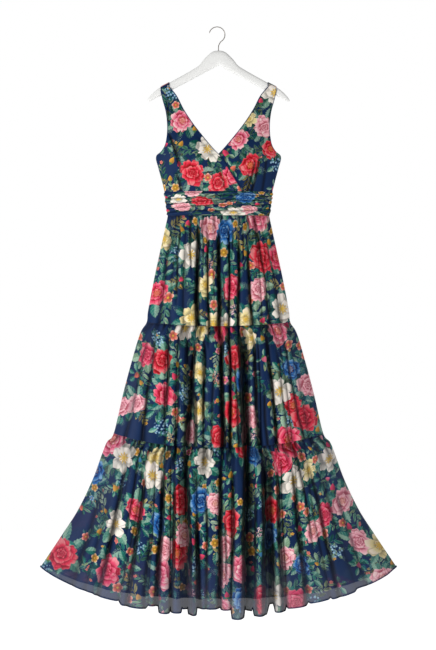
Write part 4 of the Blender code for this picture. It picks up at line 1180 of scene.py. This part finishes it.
def set_out(name, ob, seed):
    dice = np.random.default_rng(seed)
    cloth = cloth_of(ob)
    face_flat = cloth[1]
    rows = scattered(cloth, dice, PRINT_SIZE[name.split("_")[0].rstrip("123")])
    blooms, small, fans, sprays = [], [], [], []
    on_bodice = name.startswith("bodice")
    bloom_size, fan_size = (1.12, 2.0) if on_bodice else (1.28, 2.3)
    for at_x, at_z, size, hue, kind in rows:
        luck, heading = dice.uniform(0.02, 0.98), dice.uniform(0.0, 2.0 * np.pi)
        if kind <= OPEN:
            blooms.append((at_x, at_z, size * bloom_size, heading, kind + luck, HUES[hue]))
            green = one_of(dice, GREENS)
            fans.append((at_x, at_z, size * fan_size, heading, dice.integers(6, 9) + luck, green))
            far, turn = size * dice.uniform(1.3, 1.7), dice.uniform(0.0, 2.0 * np.pi)
            if size > 22.0 and not on_bodice:
                fans.append((at_x + far * math.cos(turn), at_z + far * math.sin(turn), size * 1.6,
                             heading,
                             dice.integers(5, 7) + luck, one_of(dice, GREENS)))
        else:
            heading = 0.3 * dice.normal() if kind != BUD else dice.uniform(0.9, 2.2)
            small.append((at_x, at_z, size, heading, kind + luck, HUES[hue]))
            if size > 13.0 or dice.random() < 0.3:
                fans.append((at_x, at_z, size * (1.6 if kind == CLUSTER else 2.1), heading,
                             dice.integers(3, 6) + luck, one_of(dice, GREENS)))
        for _ in range(2 if kind <= OPEN else 1):
            heading, length = dice.uniform(0.0, 2.0 * np.pi), dice.uniform(44.0, 72.0)
            foot = 0.75 * size
            sprays.append((at_x + foot * math.cos(heading), at_z + foot * math.sin(heading), length,
                           heading,
                           dice.integers(3, 5) + luck, one_of(dice, DRY)))
    for _ in range(LONG_SPRAYS.get(name, 0)):
        at = one_of(dice, face_flat)
        sprays.append((*at, dice.uniform(56.0, 88.0), dice.uniform(0.4, 2.7),
                       dice.integers(4, 6) + dice.uniform(0.1, 0.9),
                       one_of(dice, DRY)))
    for _ in range(FILLERS.get(name, 0) * 5):
        at = one_of(dice, face_flat)
        near = min(math.hypot(at[0] - m[0], at[1] - m[1]) - m[2] for m in blooms + small)
        if near > 14.0 and len(small) < len(rows) + FILLERS[name]:
            hue = one_of(dice, ("coral", "rose", "sky", "mustard", "light", "pink"))
            kind = one_of(dice, (SINGLE, BUD, BUD, CLUSTER))
            size = dice.uniform(8.0, 13.0) * (1.5 if kind == CLUSTER else 1.0)
            small.append((*at, size, dice.uniform(0.0, 6.28), kind + 0.5, HUES[hue]))
            fans.append((*at, dice.uniform(26.0, 40.0), dice.uniform(0.0, 6.28),
                         dice.integers(4, 7) + dice.uniform(0.1, 0.9),
                         one_of(dice, GREENS)))
            sprays.append((*at, dice.uniform(40.0, 64.0), dice.uniform(0.0, 6.28),
                           dice.integers(3, 5) + 0.4,
                           one_of(dice, DRY)))
    if not name.startswith("tier"):
        # the leaves on the bodice and the band are drawn darker
        fans, sprays = ([(*m[:5], tuple(DEEPER * c for c in m[5])) for m in leaves]
                        for leaves in (fans, sprays))
    for title, motifs in (("spray", sprays), ("small", small)):
        store(ob, title, motifs, cloth)
    for titles, motifs in ((("fan_low", "fan_high"), fans), (("bloom_low", "bloom_high"), blooms)):
        for title, layer in zip(titles, two_layers(motifs)):
            store(ob, title, layer, cloth)
    slot = "chiffon_sheer" if name.startswith("tier3") else "chiffon"
    ob.data.materials.append(CLOTH[slot])
    return len(rows)


halves = [PIECES.pop("bodice_back_" + hand) for hand in ("left", "right")]
bm = bmesh.new()
for half in halves:
    bm.from_mesh(half.data)
    bpy.data.objects.remove(half, do_unlink=True)
bmesh.ops.remove_doubles(bm, verts=[v for v in bm.verts if abs(v.co.x) < 0.0005], dist=0.0004)
PIECES["bodice_back"] = finish_mesh("bodice_back_cloth", bm)
for seed, name in enumerate(sorted(PIECES)):
    area = sum(p.area for p in PIECES[name].data.polygons)
    print(name, set_out(name, PIECES[name], 40 + seed), "flowers on", round(area, 4), "m2")

# %% [markdown]
# ## Light and floor
# Product light is broad and even: a bright pale room and one large soft lamp from the upper left,
# which leaves the valleys between folds darker than their crowns.

# %% Room, lamp and floor
ROOM_LIGHT = 0.33
scene.view_settings.view_transform = "Standard"
world = bpy.data.worlds.new("room")
scene.world = world
world.use_nodes = True
back = world.node_tree.nodes["Background"]
back.inputs["Color"].default_value = (1.0, 1.0, 1.0, 1.0)
ink = Ink(world.node_tree)
seen = ink.node("ShaderNodeLightPath").outputs["Is Camera Ray"]
world.node_tree.links.new(ink.add(ROOM_LIGHT, ink.mul(seen, 1.0 - ROOM_LIGHT)),
                          back.inputs["Strength"])
for title, place, size, power in (("key", (-2.6, -1.9, -0.5), 1.0, 57.0),
                                  ("fill", (2.6, -2.2, -0.4), 1.2, 16.0)):
    lamp = bpy.data.lights.new(title, "AREA")
    lamp.size, lamp.energy = size, power
    holder = bpy.data.objects.new(title, lamp)
    holder.location = place
    aim = np.array([0.0, 0.0, -0.9]) - np.array(place)
    holder.rotation_euler = (math.atan2(math.hypot(aim[0], aim[1]), -aim[2]), 0.0,
                             math.atan2(aim[1], aim[0]) - math.pi / 2.0)
    scene.collection.objects.link(holder)
bm = bmesh.new()
bmesh.ops.create_grid(bm, x_segments=1, y_segments=1, size=3.0)
floor = finish_mesh("floor", bm)
floor.location = (0.0, 0.0, -1.80)
floor.data.materials.append(material("pale floor", {
    "Base Color": (0.95, 0.95, 0.95, 1.0), "Roughness": 0.9,
    "Emission Color": (1.0, 1.0, 1.0, 1.0), "Emission Strength": 0.7})[0])

# %% [markdown]
# ## Hand the pieces over
# Each sheet stands in for one solid of the model: it joins the model's body and that solid is
# hidden. The table below lists the flat piece each sheet was cut from.

FLAT = {
    # width, length, area of the cut, how it is held, and what holds it
    "tier1_front": (0.48, 0.318, None, "gathered", "waistband_front"),
    "tier1_back": (0.42, 0.318, None, "gathered", "waistband_back"),
    "tier2_front": (0.72, 0.350, None, "gathered", "tier1_front"),
    "tier2_back": (0.61, 0.350, None, "gathered", "tier1_back"),
    "tier3_front": (1.35, 0.470, 0.520, "gathered", "tier2_front"),
    "tier3_back": (1.20, 0.470, 0.460, "gathered", "tier2_back"),
    "waistband_front": (0.33, 0.075, None, "gathered", "bodice_front_left"),
    "waistband_back": (0.32, 0.075, None, "gathered", "bodice_back"),
    "bodice_front_left": (0.24, 0.310, 0.040, "hung", "hanger_body"),
    "bodice_front_right": (0.24, 0.310, 0.040, "hung", "hanger_body"),
    "bodice_back": (0.35, 0.340, 0.066, "hung", "hanger_body"),
}
for name, (width, length, area, held, holder) in FLAT.items():
    ob = PIECES[name]
    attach(ob, "root")
    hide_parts(name)
for ob, node, slot in ((body, "hanger_body", "hanger_white"), (hook, "hanger_hook", "hook_steel")):
    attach(ob, "root")
    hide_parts(node)
